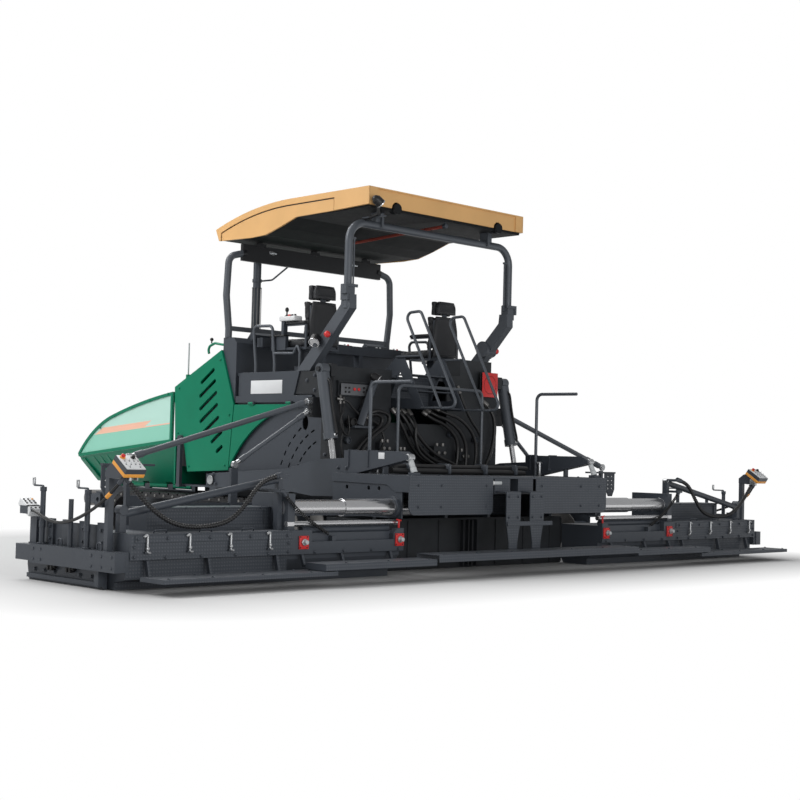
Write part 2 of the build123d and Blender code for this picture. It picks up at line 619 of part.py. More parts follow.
def hopper_apron():
    """Front flap of the hopper on its hinge tube."""
    x = APRON_X - 35
    flap = block(-x, x, APRON_Y - 12, APRON_Y + 12, APRON_Z + 15, APRON_Z + 330)
    flap += disc_x(-x, x, APRON_Y, APRON_Z, 22)
    flap -= disc_x(-APRON_X, APRON_X, APRON_Y, APRON_Z, 12 + FIT)
    return flap


def push_bar():
    """Cross beam at the front with the brackets of the push rollers."""
    z0 = ROLLER_Z - 110
    z1 = ROLLER_Z + 90
    solid = block(-BAR_X, BAR_X, BAR_Y0, BAR_Y1, z0, z1)
    for x in (ROLLER_X0 - 30, ROLLER_X1 + 8):
        ear = block(x, x + 22, BAR_Y1, ROLLER_Y + 40, ROLLER_Z - 60, ROLLER_Z + 60)
        solid += both(ear)
    solid += both(disc_x(ROLLER_X0 - 10, ROLLER_X1 + 10, ROLLER_Y, ROLLER_Z, 20))
    eye = block(BAR_X, BAR_X + EAR_T, BAR_Y0 + 10, BAR_Y1 - 10, z0 + 20, z1 - 20)
    eye -= disc_x(BAR_X - 1, BAR_X + EAR_T + 1, (BAR_Y0 + BAR_Y1) / 2, ROLLER_Z - 10, EYE_R)
    solid += both(eye)
    solid += both(block(APRON_X + 5, FRAME_X, APRON_Y + SEAT, BAR_Y0, z0, z1))
    return solid


def push_roller():
    solid = disc_x(ROLLER_X0, ROLLER_X1, ROLLER_Y, ROLLER_Z, ROLLER_R)
    return solid - disc_x(ROLLER_X0 - 1, ROLLER_X1 + 1, ROLLER_Y, ROLLER_Z, 20 + FIT)


def apron_pin():
    solid = disc_x(-APRON_X, APRON_X, APRON_Y, APRON_Z, 12)
    ears = block(APRON_X - 25, APRON_X, APRON_Y - 60, APRON_Y + 18, FRAME_Z0 + 200, APRON_Z + 20)
    ears += block(APRON_X - 25, FRAME_X - PLATE, APRON_Y - 60, APRON_Y, FRAME_Z0 + 200, FRAME_Z1 - 20)
    return solid + both(ears)


def stairs():
    """Rear stairs: two stringers with a window and three treads."""
    y0 = BULK_Y - 377
    face = outline((y0, 1590), (BULK_Y + 253, 1610), (BULK_Y + 253, 1960), (BULK_Y + 43, 2150), (BULK_Y - 57, 2150))
    face -= outline((y0 + 190, 1700), (BULK_Y + 120, 1710), (BULK_Y - 10, 1990))
    stringer = side_plate(face, 300, 312)
    solid = both(stringer)
    for z, y in ((1620, y0 + 50), (1790, y0 + 140), (1960, y0 + 240)):
        solid += block(-300, 300, y, y + 210, z - 12, z)
    solid += block(-300, 300, BULK_Y + 160, BULK_Y + 172, 1620, 1940)
    return solid


def stair_rails():
    """Two inclined handrail loops beside the stairs."""
    x = 312 + 12 + SEAT
    y = BULK_Y
    loop = pipe(((x, y - 617, 1610), (x, y - 77, 2590), (x, y - 307, 2600), (x, y - 857, 1610), (x, y - 647, 1600)), 15, 60)
    loop += bar((x, y - 627, 1605), (x, y - 347, 1605), 12)
    loop += bar((x, y - 322, 2140), (x, y + 33, 2140), 12)
    return both(loop)


def handrails():
    """Rails beside the operators' floor."""
    x = 1180
    rail = pipe(((x, -390, FLOOR_Z + SEAT), (x, -390, 2040), (x, -333, 2450), (x, -649, 2440), (x, -700, 2040),
                 (x, -700, FLOOR_Z + SEAT)), 16, 60)
    rail += pipe(((x, -680, 2150), (x, -1000, 2140), (x, -1060, 2230), (x, -1100, 2150), (x, -1100, FLOOR_Z + SEAT)),
                 14, 20)
    return both(rail)


def front_hoop():
    """Front roof hoop: two tube pillars, a deep top beam with two windows and two low bars."""
    y = FRONT_HOOP_Y
    z = CANOPY_Z
    pillar = pipe(((1200, y, CONSOLE_Z + SEAT), (1200, y, 2440), (1245, y, 2800), (1225, y, z - 538), (1000, y, z - 478)),
                  38, 110)
    solid = both(pillar)
    beam = block(-1050, 1050, y - 22, y + 22, z - 568, z - 383)
    for x in (-620, 620):
        beam -= cross_plate(Pos(x, z - 440) * SlotOverall(120, 34), y - 30, y + 30)
    solid += beam
    solid += block(-1200, 1200, y - 20, y + 20, 2420, 2470)
    for x in (-800, 0, 800):
        solid += block(x - 25, x + 25, y - 20, y + 20, z - 383, LINER_Z1 - SEAT)
        solid += block(x - 70, x + 70, y - 26, y - 22, z - 400, LINER_Z1 - 12)
    return solid


def rear_hoop():
    """Rear roof hoop: bent tube in two socket brackets on slanted box legs."""
    y = REAR_HOOP_Y
    z = CANOPY_Z - 335
    tube = pipe(((1211, y, 2560), (1211, y, z), (-1211, y, z), (-1211, y, 2560)), 40, 200)
    leg = outline((y - 60, 2560), (y - 55, 2700), (y + 60, 2700), (y + 70, 2600), (BULK_Y + 563, FLOOR_Z + SEAT),
                  (BULK_Y + 363, FLOOR_Z + SEAT))
    side = side_plate(leg, 1140, 1235)
    side += block(1160, 1262, y - 50, y + 50, 2640, 2800)
    side += block(1130, 1290, y - 62, y - 50, 2770, 2800)
    side += block(1262, 1290, y - 62, y + 20, 2700, 2770)
    # thin strut beside the tube
    side += block(1125, 1180, y - 12, y + 12, z - 175, z - 155)
    side += bar((1140, y, 2790), (1140, y, z - 160), 9)
    side += block(1125, 1165, y - 12, y + 12, 2740, 2800)
    side += block(820, 880, y - 35, y + 35, z + 30, LINER_Z0 - SEAT)
    side += block(790, 820, y - 60, y + 60, z - 20, LINER_Z0 - SEAT)
    solid = tube + both(side)
    # folding motor at the foot of the right leg
    solid += disc_x(1105, 1270, BULK_Y + 127, 2322, 88)
    solid += disc_x(1270, 1295, BULK_Y + 127, 2322, 45)
    return solid


def roof_low(shift):
    """The roof's lower edge seen from the side: shallow at the rear, deep at the front."""
    y0 = CANOPY_Y0
    z = CANOPY_Z
    points = ((y0, z - 180), (-1529, z - 196), (-961, z - 203), (-702, z - 285), (-470, z - 346), (-231, z - 357),
              (CANOPY_Y1 - 60, z - 345))
    return [(y, high + shift) for y, high in points]


def roof_top(drop):
    """The roof's top line from front to rear, lowered by drop."""
    z = CANOPY_Z - drop
    return [(CANOPY_Y1, z - 217), (-217, z - 62), (-887, z - 2), (CANOPY_Y0, z)]


def roof_side(drop):
    """The roof's side face between its lower edge and its lowered top line."""
    front, near, far, rear = roof_top(drop)
    crown = ThreePointArc(front, near, far)
    return make_face(Polyline(*roof_low(0), front) + crown + Polyline(far, rear, (CANOPY_Y0, CANOPY_Z - 180)))


def canopy_roof():
    """Moulded roof, open below, with inset side panels and lamp notches at the rear."""
    x = CANOPY_X
    y0 = CANOPY_Y0
    z = CANOPY_Z
    solid = side_plate(roof_side(0), -x, x)
    front, near, far, rear = roof_top(CANOPY_T)
    front = (front[0] - CANOPY_T, front[1])
    rear = (rear[0] + CANOPY_T, rear[1])
    room = make_face(Polyline((y0 + CANOPY_T, 3300), (front[0], 3300), front) + ThreePointArc(front, near, far)
                     + Polyline(far, rear, (y0 + CANOPY_T, 3300)))
    solid -= side_plate(room, -x + CANOPY_T, x - CANOPY_T)
    # inset side panels below a dark seam
    front, near, far, rear = roof_top(62)
    seam = ThreePointArc((CANOPY_Y1 - 90, front[1] + 22), near, far)
    inset = make_face(Polyline((-1554, 3300), (CANOPY_Y1 - 90, 3300), (CANOPY_Y1 - 90, front[1] + 22)) + seam
                      + Polyline(far, (-1554, z - 62), (-1554, 3300)))
    solid -= both(side_plate(inset, x - 7, x + 5))
    groove = inset - offset(inset, -13)
    solid -= both(side_plate(groove, x - 14, x + 5))
    # the rear face lies back between two corner blocks; lamps sit in notches of its lower edge
    solid -= block(-1050, 1050, y0 - 5, y0 + 14, 3300, z - 14)
    for lamp in (-770, 770):
        solid -= disc_y(lamp, y0 - 5, y0 + 40, z - 180, 66)
    return solid


def canopy_liner():
    """Dark headliner under the roof, deeper over the windscreen hoop, with its work lamps."""
    y0 = CANOPY_Y0 + CANOPY_T + SEAT
    y1 = CANOPY_Y1 - 110
    x = CANOPY_X - CANOPY_T - SEAT
    low = [(y0, LINER_Z0), (-961, LINER_Z0), (-702, LINER_Z0 - 85), (-470, LINER_Z1), (y1, LINER_Z1)]
    high = [(y, z + 45) for y, z in reversed(low)]
    solid = side_plate(outline(*low, *high), -x, x)
    for lamp in (-770, 770):
        solid += disc_y(lamp, CANOPY_Y0 - 8, y0 + 40, CANOPY_Z - 180, 52)
        solid += disc_y(lamp, y0 + 40, y0 + 75, CANOPY_Z - 180, 30)
    return solid


def exhaust():
    """Upright exhaust stack on the hood, with its clamp and stay."""
    x = -620
    y = 317
    solid = pipe(((x, y, 2000), (x, y, 3300), (x, y + 60, 3400)), 45, 60)
    hood_below = outline((CONSOLE_Y1, 1900), (CONSOLE_Y1, 2206 + SEAT), (NOSE_Y, 1816 + SEAT), (NOSE_Y, 1700))
    solid -= side_plate(hood_below, -800, -500)
    solid += bar((x, y, 2170), (x, y, 2290), 62)
    solid += bar((x, y, 3020), (x, y, 3055), 54)
    solid += pipe(((x + 40, y, 3038), (x + 170, y - 60, 3060), (x + 290, FRONT_HOOP_Y + 60, 3215)), 10, 60)
    return solid


def seat_frames():
    """Pedestals, shells, armrest brackets and side consoles of both seats."""
    y = BULK_Y + 550
    seat = block(770, 1070, y - 60, y + 240, FLOOR_Z + SEAT, FLOOR_Z + 60)
    seat += block(840, 1000, y + 10, y + 170, FLOOR_Z + 60, 2180)
    seat += block(690, 1150, y - 22, y + 290, 2180, 2205)
    seat += block(750, 1090, y - 22, y, 2190, 2640)
    seat += block(890, 950, y - 22, y, 2640, 2780)
    for x in (690, 1132):
        seat += block(x, x + 18, y - 22, y, 2190, 2440)
        seat += block(x, x + 18, y - 22, y + 290, 2428, 2440)
    # side console
    seat += block(1119, 1160, y + 290, y + 520, 2180, 2330)
    return both(seat)


def seat_pads():
    """Cushion, backrest, headrest and armrest pads of the right seat."""
    y = BULK_Y + 550
    pads = cushion(725, 1115, y + SEAT, y + 480, 2205 + SEAT, 2300, 28)
    pads += cushion(730, 1110, y + SEAT, y + 95, 2318, 2680, 26)
    pads += cushion(790, 1050, y + SEAT, y + 85, 2700, 2840, 26)
    for x in (676, 1116):
        pads += cushion(x, x + 46, y, y + 300, 2440 + SEAT, 2480, 12)
    return pads


def consoles():
    """Operating console in front of the seats."""
    solid = block(-1120, 1120, -420, -330, 2230, 2330)
    solid += both(block(300, 360, -420, -330, FLOOR_Z + SEAT, 2230))
    return solid


# ---------------------------------------------------------------- lift cylinders
def lift_parts():
    top = Vector(LIFT_X, *LIFT_TOP)
    eye = Vector(LIFT_X, *LIFT_EYE)
    way = (eye - top).normalized()
    length = (eye - top).length
    end = top + way * (length - 300)
    barrel = bar(top + way * 40, end, BARREL_R)
    barrel += bar(end - way * 70, end, BARREL_R + 7)
    barrel += disc_x(ARM_X0 + 5, ARM_X1 - 5, LIFT_TOP[0], LIFT_TOP[1], 55)
    barrel -= disc_x(ARM_X0, ARM_X1, LIFT_TOP[0], LIFT_TOP[1], LIFT_PIN_R + FIT)
    barrel -= bar(top + way * 110, end + way, LROD_R + 1)
    rod = bar(top + way * 330, eye - way * 40, LROD_R)
    rod += disc_x(LIFT_X - 32, LIFT_X + 32, LIFT_EYE[0], LIFT_EYE[1], 50)
    rod -= disc_x(LIFT_X - 40, LIFT_X + 40, LIFT_EYE[0], LIFT_EYE[1], LIFT_PIN_R + EYE_PLAY)
    return barrel, rod


# ---------------------------------------------------------------- screed
def tow_arm():
    """Right tow arm: plate arm from the tow pin to the deck, with the fork of the lift rod."""
    y0 = DECK_Y0 + 119
    face = outline((TOW_Y + 90, TOW_Z - 60), (TOW_Y + 90, TOW_Z + 60), (TOW_Y - 60, TOW_Z + 75),
                   (-1200, 950), (BULK_Y - 7, 1055), (DECK_Y1 - 87, 1075), (DECK_Y1 - 87, 1150), (y0 + 80, 1150),
                   (y0, 1115), (y0, 1075), (y0 + 60, 1060), (DECK_Y1 - 260, DECK_TOP),
                   (DECK_Y1 + 13, DECK_TOP), (DECK_Y1 + 13, 700), (BULK_Y + 83, 690), (-1100, 740),
                   (TOW_Y - 60, TOW_Z - 75))
    solid = side_plate(face, ARM_X0, ARM_X1)
    solid -= disc_x(ARM_X0 - 5, ARM_X1 + 5, TOW_Y, TOW_Z, TOW_PIN_R + FIT)
    solid -= block(LIFT_X - 42, LIFT_X + 42, LIFT_EYE[0] - 130, LIFT_EYE[0] + 170, LIFT_EYE[1] - 80, 1300)
    solid += disc_x(ARM_X0, ARM_X1, LIFT_EYE[0], LIFT_EYE[1], LIFT_PIN_R)
    # turnbuckle from the arm's rear end down to the deck
    solid += disc_x(ARM_X0 + 20, ARM_X1 - 20, y0 + 10, 1095, 32)
    solid += bar((LIFT_X, y0 + 10, 1090), (LIFT_X, y0 - 45, 975), 20)
    solid += bar((LIFT_X, y0 - 33, 1000), (LIFT_X, y0 - 55, 954), 29)
    solid += block(LIFT_X - 40, LIFT_X + 40, y0 - 90, y0 - 10, DECK_TOP, 958)
    # folded ribs across the arm behind the cylinder
    for y in (DECK_Y1 - 150, DECK_Y1 - 420):
        solid += block(ARM_X0 - 12, ARM_X1 + 12, y - 12, y, DECK_TOP + 60, 1158)
    solid += block(ARM_X0 + 25, ARM_X1 - 25, DECK_Y1 - 620, DECK_Y1 - 600, DECK_TOP, 1100)
    return solid


def screed_box():
    """Basic screed: plate with turned-up front edge and its box, halves bolted in the middle."""
    shell = outline((BOX_Y0, 0), (BOX_Y1 - 40, 0), (BOX_Y1, 60), (BOX_Y1, BOX_Z1), (BOX_Y0, BOX_Z1))
    solid = side_plate(shell, -WALK_X, WALK_X)
    for x in (20, 95):
        solid += both(block(x, x + 14, BOX_Y0 - 45, BOX_Y0, 15, 480))
    for x in (420, 860, 1300, WALK_X - 12):
        solid += both(block(x, x + 12, BOX_Y0 - 12, BOX_Y0, 15, 480))
    solid += block(-WALK_X, WALK_X, BOX_Y0 - 14, BOX_Y0, 60, 75)
    return solid


def deck():
    """Deck over the screed: top, side plates with the tube collars, rear panels, folded brackets."""
    solid = block(-BASE_X, BASE_X, DECK_Y0, DECK_Y1, DECK_TOP - 20, DECK_TOP)
    web = outline((DECK_Y0 + 12, 800), (DECK_Y0 + 112, 800), (DECK_Y0 + 112, 530), (DECK_Y1, 530), (DECK_Y1, DECK_TOP - 20),
                  (DECK_Y0 + 12, DECK_TOP - 20))
    side = side_plate(web, BASE_X - 30, BASE_X - 15)
    lip = outline((DECK_Y0 + 12, 775), (DECK_Y0 + 190, 775), (DECK_Y0 + 300, 838), (DECK_Y1, 850), (DECK_Y1, DECK_TOP - 20),
                  (DECK_Y0 + 12, DECK_TOP - 20))
    side += side_plate(lip, BASE_X - 15, BASE_X)
    for y in (DECK_Y0 + 420, DECK_Y0 + 560, DECK_Y0 + 860):
        side -= disc_x(BASE_X - 31, BASE_X + 1, y, 800, 20)
    side += disc_x(BASE_X - 30, BASE_X + 25, TUBE_Y, TUBE_Z, SLEEVE_R + 20)
    side -= disc_x(BASE_X - 35, BASE_X + 30, TUBE_Y, TUBE_Z, SLEEVE_R + 1)
    panel = block(PANEL_X0, BASE_X, DECK_Y0, DECK_Y0 + 12, PANEL_Z0, DECK_TOP)
    corners = panel.edges().filter_by(Axis.Y).group_by(Axis.Z)[0].sort_by(Axis.X)
    panel = chamfer(corners[0], 30)
    outer = panel.edges().filter_by(Axis.Y).group_by(Axis.Z)[0].sort_by(Axis.X)[-1]
    side += fillet(outer, 75)
    side += block(60, 290, DECK_Y0 + 12, DECK_Y1, 760, DECK_TOP - 20)
    side += block(0, 1290, DECK_Y1 - 12, DECK_Y1, BOX_Z1 + SEAT, DECK_TOP - 20)
    side += block(300, 340, BOX_Y0, DECK_Y1, BOX_Z1 + SEAT, DECK_TOP - 20)
    side += block(1300, 1340, BOX_Y0, DECK_Y1, BOX_Z1 + SEAT, DECK_TOP - 20)
    # bracket folded at its top, with a waist, standing on the footboard
    shape = outline((72, 790), (282, 790), (282, 500), (268, 440), (240, 300), (236, WALK_Z + SEAT),
                    (116, WALK_Z + SEAT), (112, 300), (84, 440), (72, 500))
    side += cross_plate(shape, BRACKET_Y, BRACKET_Y + 12)
    side += block(72, 282, BRACKET_Y, DECK_Y0 + 40, 778, 790)
    solid += both(side)
    solid += block(-270, 406, BRACKET_Y - 12, BRACKET_Y, 458, 500)
    # level gauge between the panels
    solid += disc_x(-325, -190, DECK_Y0 + 25, 868, 21)
    return solid


def walkway():
    """Centre footboard behind the basic screed: a tread plate with skirts."""
    solid = block(-WALK_X, WALK_X, REAR, REAR + WALK_DEPTH, WALK_Z0, WALK_Z)
    return solid - block(-WALK_X - 1, WALK_X + 1, REAR + 5, REAR + WALK_DEPTH - 5, WALK_Z0 - 1, WALK_Z - 6)


def screed_rails():
    """Guard hoop in the middle and a handrail over each side of the deck."""
    y = DECK_Y1
    hoop = pipe(((-630, y - 30, DECK_TOP + SEAT), (-630, y - 30, 1820), (630, y - 30, 1820), (630, y - 30, DECK_TOP + SEAT)),
                17, 70)
    side = pipe(((1250, y - 275, DECK_TOP + SEAT), (1250, y - 275, 1815), (1250, y - 820, 1812)), 17, 70)
    side += block(1215, 1285, y - 310, y - 240, DECK_TOP + SEAT, DECK_TOP + 8)
    return hoop + both(side)


def tube_sleeve():
    """Middle stage of the telescopic guide tube."""
    x1 = TUBE_X1 - TRAVEL + TRAVEL_SLEEVE - GAP
    solid = disc_x(850, x1, TUBE_Y, TUBE_Z, SLEEVE_R)
    return solid - disc_x(849, x1 + 1, TUBE_Y, TUBE_Z, SLEEVE_R - SLEEVE_T)


# ---------------------------------------------------------------- extension
def extension_frame():
    """Hydraulic unit, guide tube, lower rod and the plate that carries them."""
    x1 = BOLT_X0 - SEAT
    shoe = outline((SHOE_Y0, 0), (EXT_Y1 - 30, 0), (EXT_Y1, 50), (EXT_Y1, 240), (EXT_Y0 + 60, 240),
                   (EXT_Y0 + 60, 200), (SHOE_Y0, 60))
    solid = side_plate(shoe, EXT_X0, x1)
    solid += block(EXT_X0, x1, EXT_Y0, EXT_Y0 + 60, BOXR_Z0, 350)
    solid += block(EXT_X0, x1, EXT_Y0 + 60, EXT_Y1, 200, 420)
    cheek = outline((EXT_X0, BOXR_Z0), (EXT_X0 + 130, BOXR_Z0), (EXT_X0 + 130, 400), (EXT_X0 + 80, BOXR_Z1),
                    (EXT_X0, BOXR_Z1))
    solid += cross_plate(cheek, EXT_Y0, EXT_Y0 + 60)
    solid += block(TUBE_X1 - 150, x1, EXT_Y0, EXT_Y0 + 60, BOXR_Z0, BOXR_Z1)
    solid += block(TUBE_X1, x1, EXT_Y0 + 60, EXT_Y1, 240, 760)
    solid += disc_x(EXT_X0 + 8, TUBE_X1 + 10, TUBE_Y, TUBE_Z, TUBE_R)
    solid += disc_x(EXT_X0 + 8, TUBE_X1 + 10, RAIL_Y, RAIL_Z, RAIL_R)
    # cable sockets on the rear face
    for x in SOCKETS_X:
        solid += block(x, x + 102, EXT_Y0 - 12, EXT_Y0, 290, 400)
    # hydraulic cylinder in the recess under the rod, and the seat of the lever cable
    solid += disc_x(EXT_X0 + 100, TUBE_X1 - 120, EXT_Y0 + 118, 444, 32)
    solid += block(2325, 2370, LEVER_Y - 20, LEVER_Y + 20, 300, 396)
    return solid


def extension_box():
    """Bolted-on box: screed plate, raised box on top and four catches."""
    shoe = outline((SHOE_Y0, 0), (EXT_Y1 - 30, 0), (EXT_Y1, 50), (EXT_Y1, BOXR_Z1), (EXT_Y0, BOXR_Z1),
                   (EXT_Y0, BOXR_Z0), (EXT_Y0 + 60, BOXR_Z0), (EXT_Y0 + 60, 90), (SHOE_Y0, 60))
    solid = side_plate(shoe, BOLT_X0, EXT_X1)
    solid += block(BOLT_X0, STEP_X1, STEP_Y, EXT_Y1, BOXR_Z1, STEP_Z)
    solid -= block(BOLT_X0 + 60, STEP_X1 - 60, STEP_Y - 10, STEP_Y + 12, BOXR_Z1 + 40, STEP_Z - 30)
    solid += block(BOLT_X0, STEP_X1, STEP_Y - 14, STEP_Y, STEP_Z - 12, STEP_Z)
    # rear ledge with catches
    solid += block(BOLT_X0, EXT_X1 - 40, EXT_Y0 - 8, EXT_Y0, BOXR_Z1 - 70, BOXR_Z1 - 12)
    for x in (3100, 3515, 3930, 4340):
        solid += block(x - 7, x + 7, EXT_Y0 - 26, EXT_Y0 - 14, 305, 430)
        solid += block(x - 7, x + 7, EXT_Y0 - 26, EXT_Y0, 416, 430)
        solid += block(x - 22, x + 22, EXT_Y0 - 26, EXT_Y0, 296, 310)
    return solid


def end_gate():
    """Plate that closes the outer end, with its beam, guides, crank posts and handles."""
    y0 = SHOE_Y0 + 80
    y1 = BEAM_Y1 + 190
    face = outline((y0, 0), (y1 - 30, 0), (y1, 120), (y1, BEAM_Z0 + 20), (y0, BEAM_Z0 + 20))
    solid = side_plate(face, GATE_X0, GATE_X1)
    solid += block(EXT_X1 + SEAT, GATE_X1, EXT_Y0 + 10, y1, BEAM_Z0, BEAM_Z1)
    solid += block(GATE_X1, BEAM_X1, EXT_Y0, BEAM_Y1, BEAM_Z0, BEAM_Z1)
    solid += block(GATE_X1 - 10, BEAM_X1 - 12, BEAM_Y1, TIP_Y1, BEAM_Z0 + 14, BEAM_Z1 - 12)
    solid += block(GATE_X1, BEAM_X1 - 40, y0, y0 + 60, 20, BEAM_Z0)
    solid += block(GATE_X1, GATE_X1 + 30, y0, y1 - 40, 20, 55)
    # upright guides inside the posts
    for y in (EXT_Y0 + 300, EXT_Y0 + 560, EXT_Y0 + 810, EXT_Y0 + 1053, BEAM_Y1 + 70):
        solid += block(GATE_X0, GATE_X1, y, y + 100, BEAM_Z1 - 20, 520)
    solid += block(GATE_X0, GATE_X0 + 10, EXT_Y0 + 300, BEAM_Y1 + 170, BEAM_Z1 - 20, 500)
    x = GATE_X1 + 38
    for y in CRANKS_Y:
        solid += bar((x, y, BEAM_Z1), (x, y, 775), 22)
        solid += bar((x, y, 445), (x, y, 495), 27)
        solid += pipe(((x, y, 760), (x, y, 786), (x, y + 150, 786), (x, y + 150, 850)), 8, 12)
    solid += bar((x, EXT_Y0 + 729, BEAM_Z1), (x, EXT_Y0 + 729, 692), 20)
    for y in (EXT_Y0 + 275, EXT_Y0 + 850):
        solid += pipe(((x, y, BEAM_Z1), (x, y, BEAM_Z1 + 56), (x, y + 62, BEAM_Z1 + 56), (x, y + 62, BEAM_Z1)), 7, 18)
    # level control at the front guide
    solid += block(GATE_X0, GATE_X1, BEAM_Y1 + 70, BEAM_Y1 + 170, 500, 560)
    solid += block(GATE_X0 + 10, BEAM_X1 + 5, BEAM_Y1 + 55, BEAM_Y1 + 175, 548, 615)
    solid += gland(GATE[-1], GATE[-2], GATE_R + 2, 40)
    return solid


def controls():
    """Control post with its tilted box, and the support arm over the extension."""
    y = POST_Y
    post = y + 70
    solid = block(4520, 4570, post - 25, post + 25, BEAM_Z1 + SEAT, 940)
    # tilted control box on its bracket
    tilt = Pos(4520, EXT_Y0, 972) * Rot(34, 0, 0)
    solid += tilt * Box(184, 196, 72)
    solid += tilt * Pos(0, 0, 38) * Box(170, 182, 10)
    arm = outline((post + 25, 885), (post + 25, 940), (post - 40, 988), (EXT_Y0 + 108, 1005), (EXT_Y0 + 3, 934),
                  (EXT_Y0 + 20, 890), (EXT_Y0 + 120, 872))
    solid += side_plate(arm, 4515, 4575)
    solid += gland(CONDUIT[-1], CONDUIT[-2], CONDUIT_R + 5, 95)
    solid += gland(GATE[0], GATE[1], GATE_R + 5, 70)
    # inner post with the support arm, its clamps and the hand lever
    solid += bar((2870, y + 13, 883), (4430, y + 73, 590), 32)
    solid += block(2845, 2895, y - 17, y + 43, BOXR_Z1 + SEAT, 900)
    solid += disc_y(2870, y - 17, y + 43, 900, 25)
    solid += block(4400, 4460, y + 43, y + 103, BOXR_Z1 + SEAT, 640)
    solid += disc_y(4430, y + 36, y + 110, 625, 40)
    solid += block(2880, 2975, CONDUIT_Y - 30, y + 20, 897, 925)
    solid += gland(CONDUIT[0], CONDUIT[1], CONDUIT_R + 5, 70)
    solid += block(2880, 2975, LEVER_Y - 18, y + 20, 772, 796)
    solid += gland(LEVER[0], LEVER[1], LEVER_R + 4, 62)
    return solid


def footboard():
    """Two treaded boards behind the extension, on folded lugs below its boxes."""
    solid = block(WALK_X + 15, BOARD_X, REAR + 12, REAR + WALK_DEPTH - 12, BOARD_Z - 56, BOARD_Z)
    solid -= block(WALK_X + 14, BOARD_X - 5, REAR + 17, REAR + WALK_DEPTH - 17, BOARD_Z - 57, BOARD_Z - 6)
    solid += block(BOARD_X - 150, EXT_X1, REAR + 25, REAR + 325, TIP_Z - 35, TIP_Z)
    solid -= block(BOARD_X - 151, EXT_X1 - 5, REAR + 30, REAR + 320, TIP_Z - 36, TIP_Z - 6)
    for x in (BOARD_X - 150, BOARD_X - 30):
        solid += block(x, x + 25, REAR + 40, REAR + 240, TIP_Z - 6, BOARD_Z - 6)
    hook = outline((REAR + WALK_DEPTH - 20, 138), (EXT_Y0 - 10, 138), (EXT_Y0 + 40, BOXR_Z0 - SEAT),
                   (EXT_Y0 + 5, BOXR_Z0 - SEAT), (EXT_Y0 - 30, 158), (REAR + WALK_DEPTH - 20, 158))
    for x in (1640, 2240, 2700):
        solid += side_plate(hook, x, x + 25)
    lug = outline((REAR + 318, 96), (EXT_Y0 + 10, 96), (EXT_Y0 + 45, BOXR_Z0 - SEAT), (EXT_Y0 + 10, BOXR_Z0 - SEAT),
                  (EXT_Y0 - 25, 118), (REAR + 318, 118))
    for x in (2980, 3700, 4300):
        solid += side_plate(lug, x, x + 25)
    return solid


def build_tractor():
    save("tracks", both(track()))
    save("track_frames", both(track_frame()))
    save("main_frame", chassis() + both(hopper_hinges()) + both(tow_mount()) + auger_drive() + apron_pin())
    save("engine", engine())
    save("conveyor", conveyor())
    save("engine_hood", hood())
    save("side_panels", both(side_panel()))
    save_sides("side_door", side_door())
    save("side_covers", both(side_cover()))
    save("platform", platform())
    save("front_console", front_console())
    save("rear_bulkhead", rear_bulkhead() + both(side_mounts()))
    save("brace_rods", both(brace_rods()))
    save("limit_plates", both(limit_plates()))
    save("push_bar", push_bar())
    save("stairs", stairs())
    save("handrails", handrails() + stair_rails())
    save("front_hoop", front_hoop())
    save("rear_hoop", rear_hoop())
    save("canopy_roof", canopy_roof())
    save("canopy_liner", canopy_liner())
    save("exhaust_stack", exhaust())
    save("seat_frames", seat_frames())
    save("seat_pads", both(seat_pads()))
    save("console_desk", consoles())


def build_movers():
    save_sides("hopper_wing", hopper_wing())
    save("hopper_apron", hopper_apron())
    save_sides("push_roller", push_roller())
    save_sides("auger", auger())
    barrel, rod = lift_parts()
    save_sides("lift_barrel", barrel)
    save_sides("lift_rod", rod)


def build_screed():
    save("tow_arms", both(tow_arm()))
    save("screed_box", screed_box())
    save("screed_deck", deck())
    save("screed_walkway", walkway())
    save("screed_rails", screed_rails())
    save_sides("tube_sleeve", tube_sleeve())
    save_sides("extension_frame", extension_frame())
    save_sides("extension_box", extension_box())
    save_sides("end_gate", end_gate())
    save_sides("controls", controls())
    save_sides("footboard", footboard())


def build_cords():
    for name, points, r in (("cord_conduit", CONDUIT, CONDUIT_R), ("cord_lever", LEVER, LEVER_R),
                            ("cord_gate", GATE, GATE_R)):
        save_sides(name, cord(points, r))
        print(name, [round(radius) for radius in bend_radii(points)])


if __name__ == "__main__":
    os.makedirs("parts", exist_ok=True)
    build_tractor()
    build_movers()
    build_screed()
    build_cords()
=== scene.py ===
import bpy
import json
import math
from mathutils import Matrix, Vector

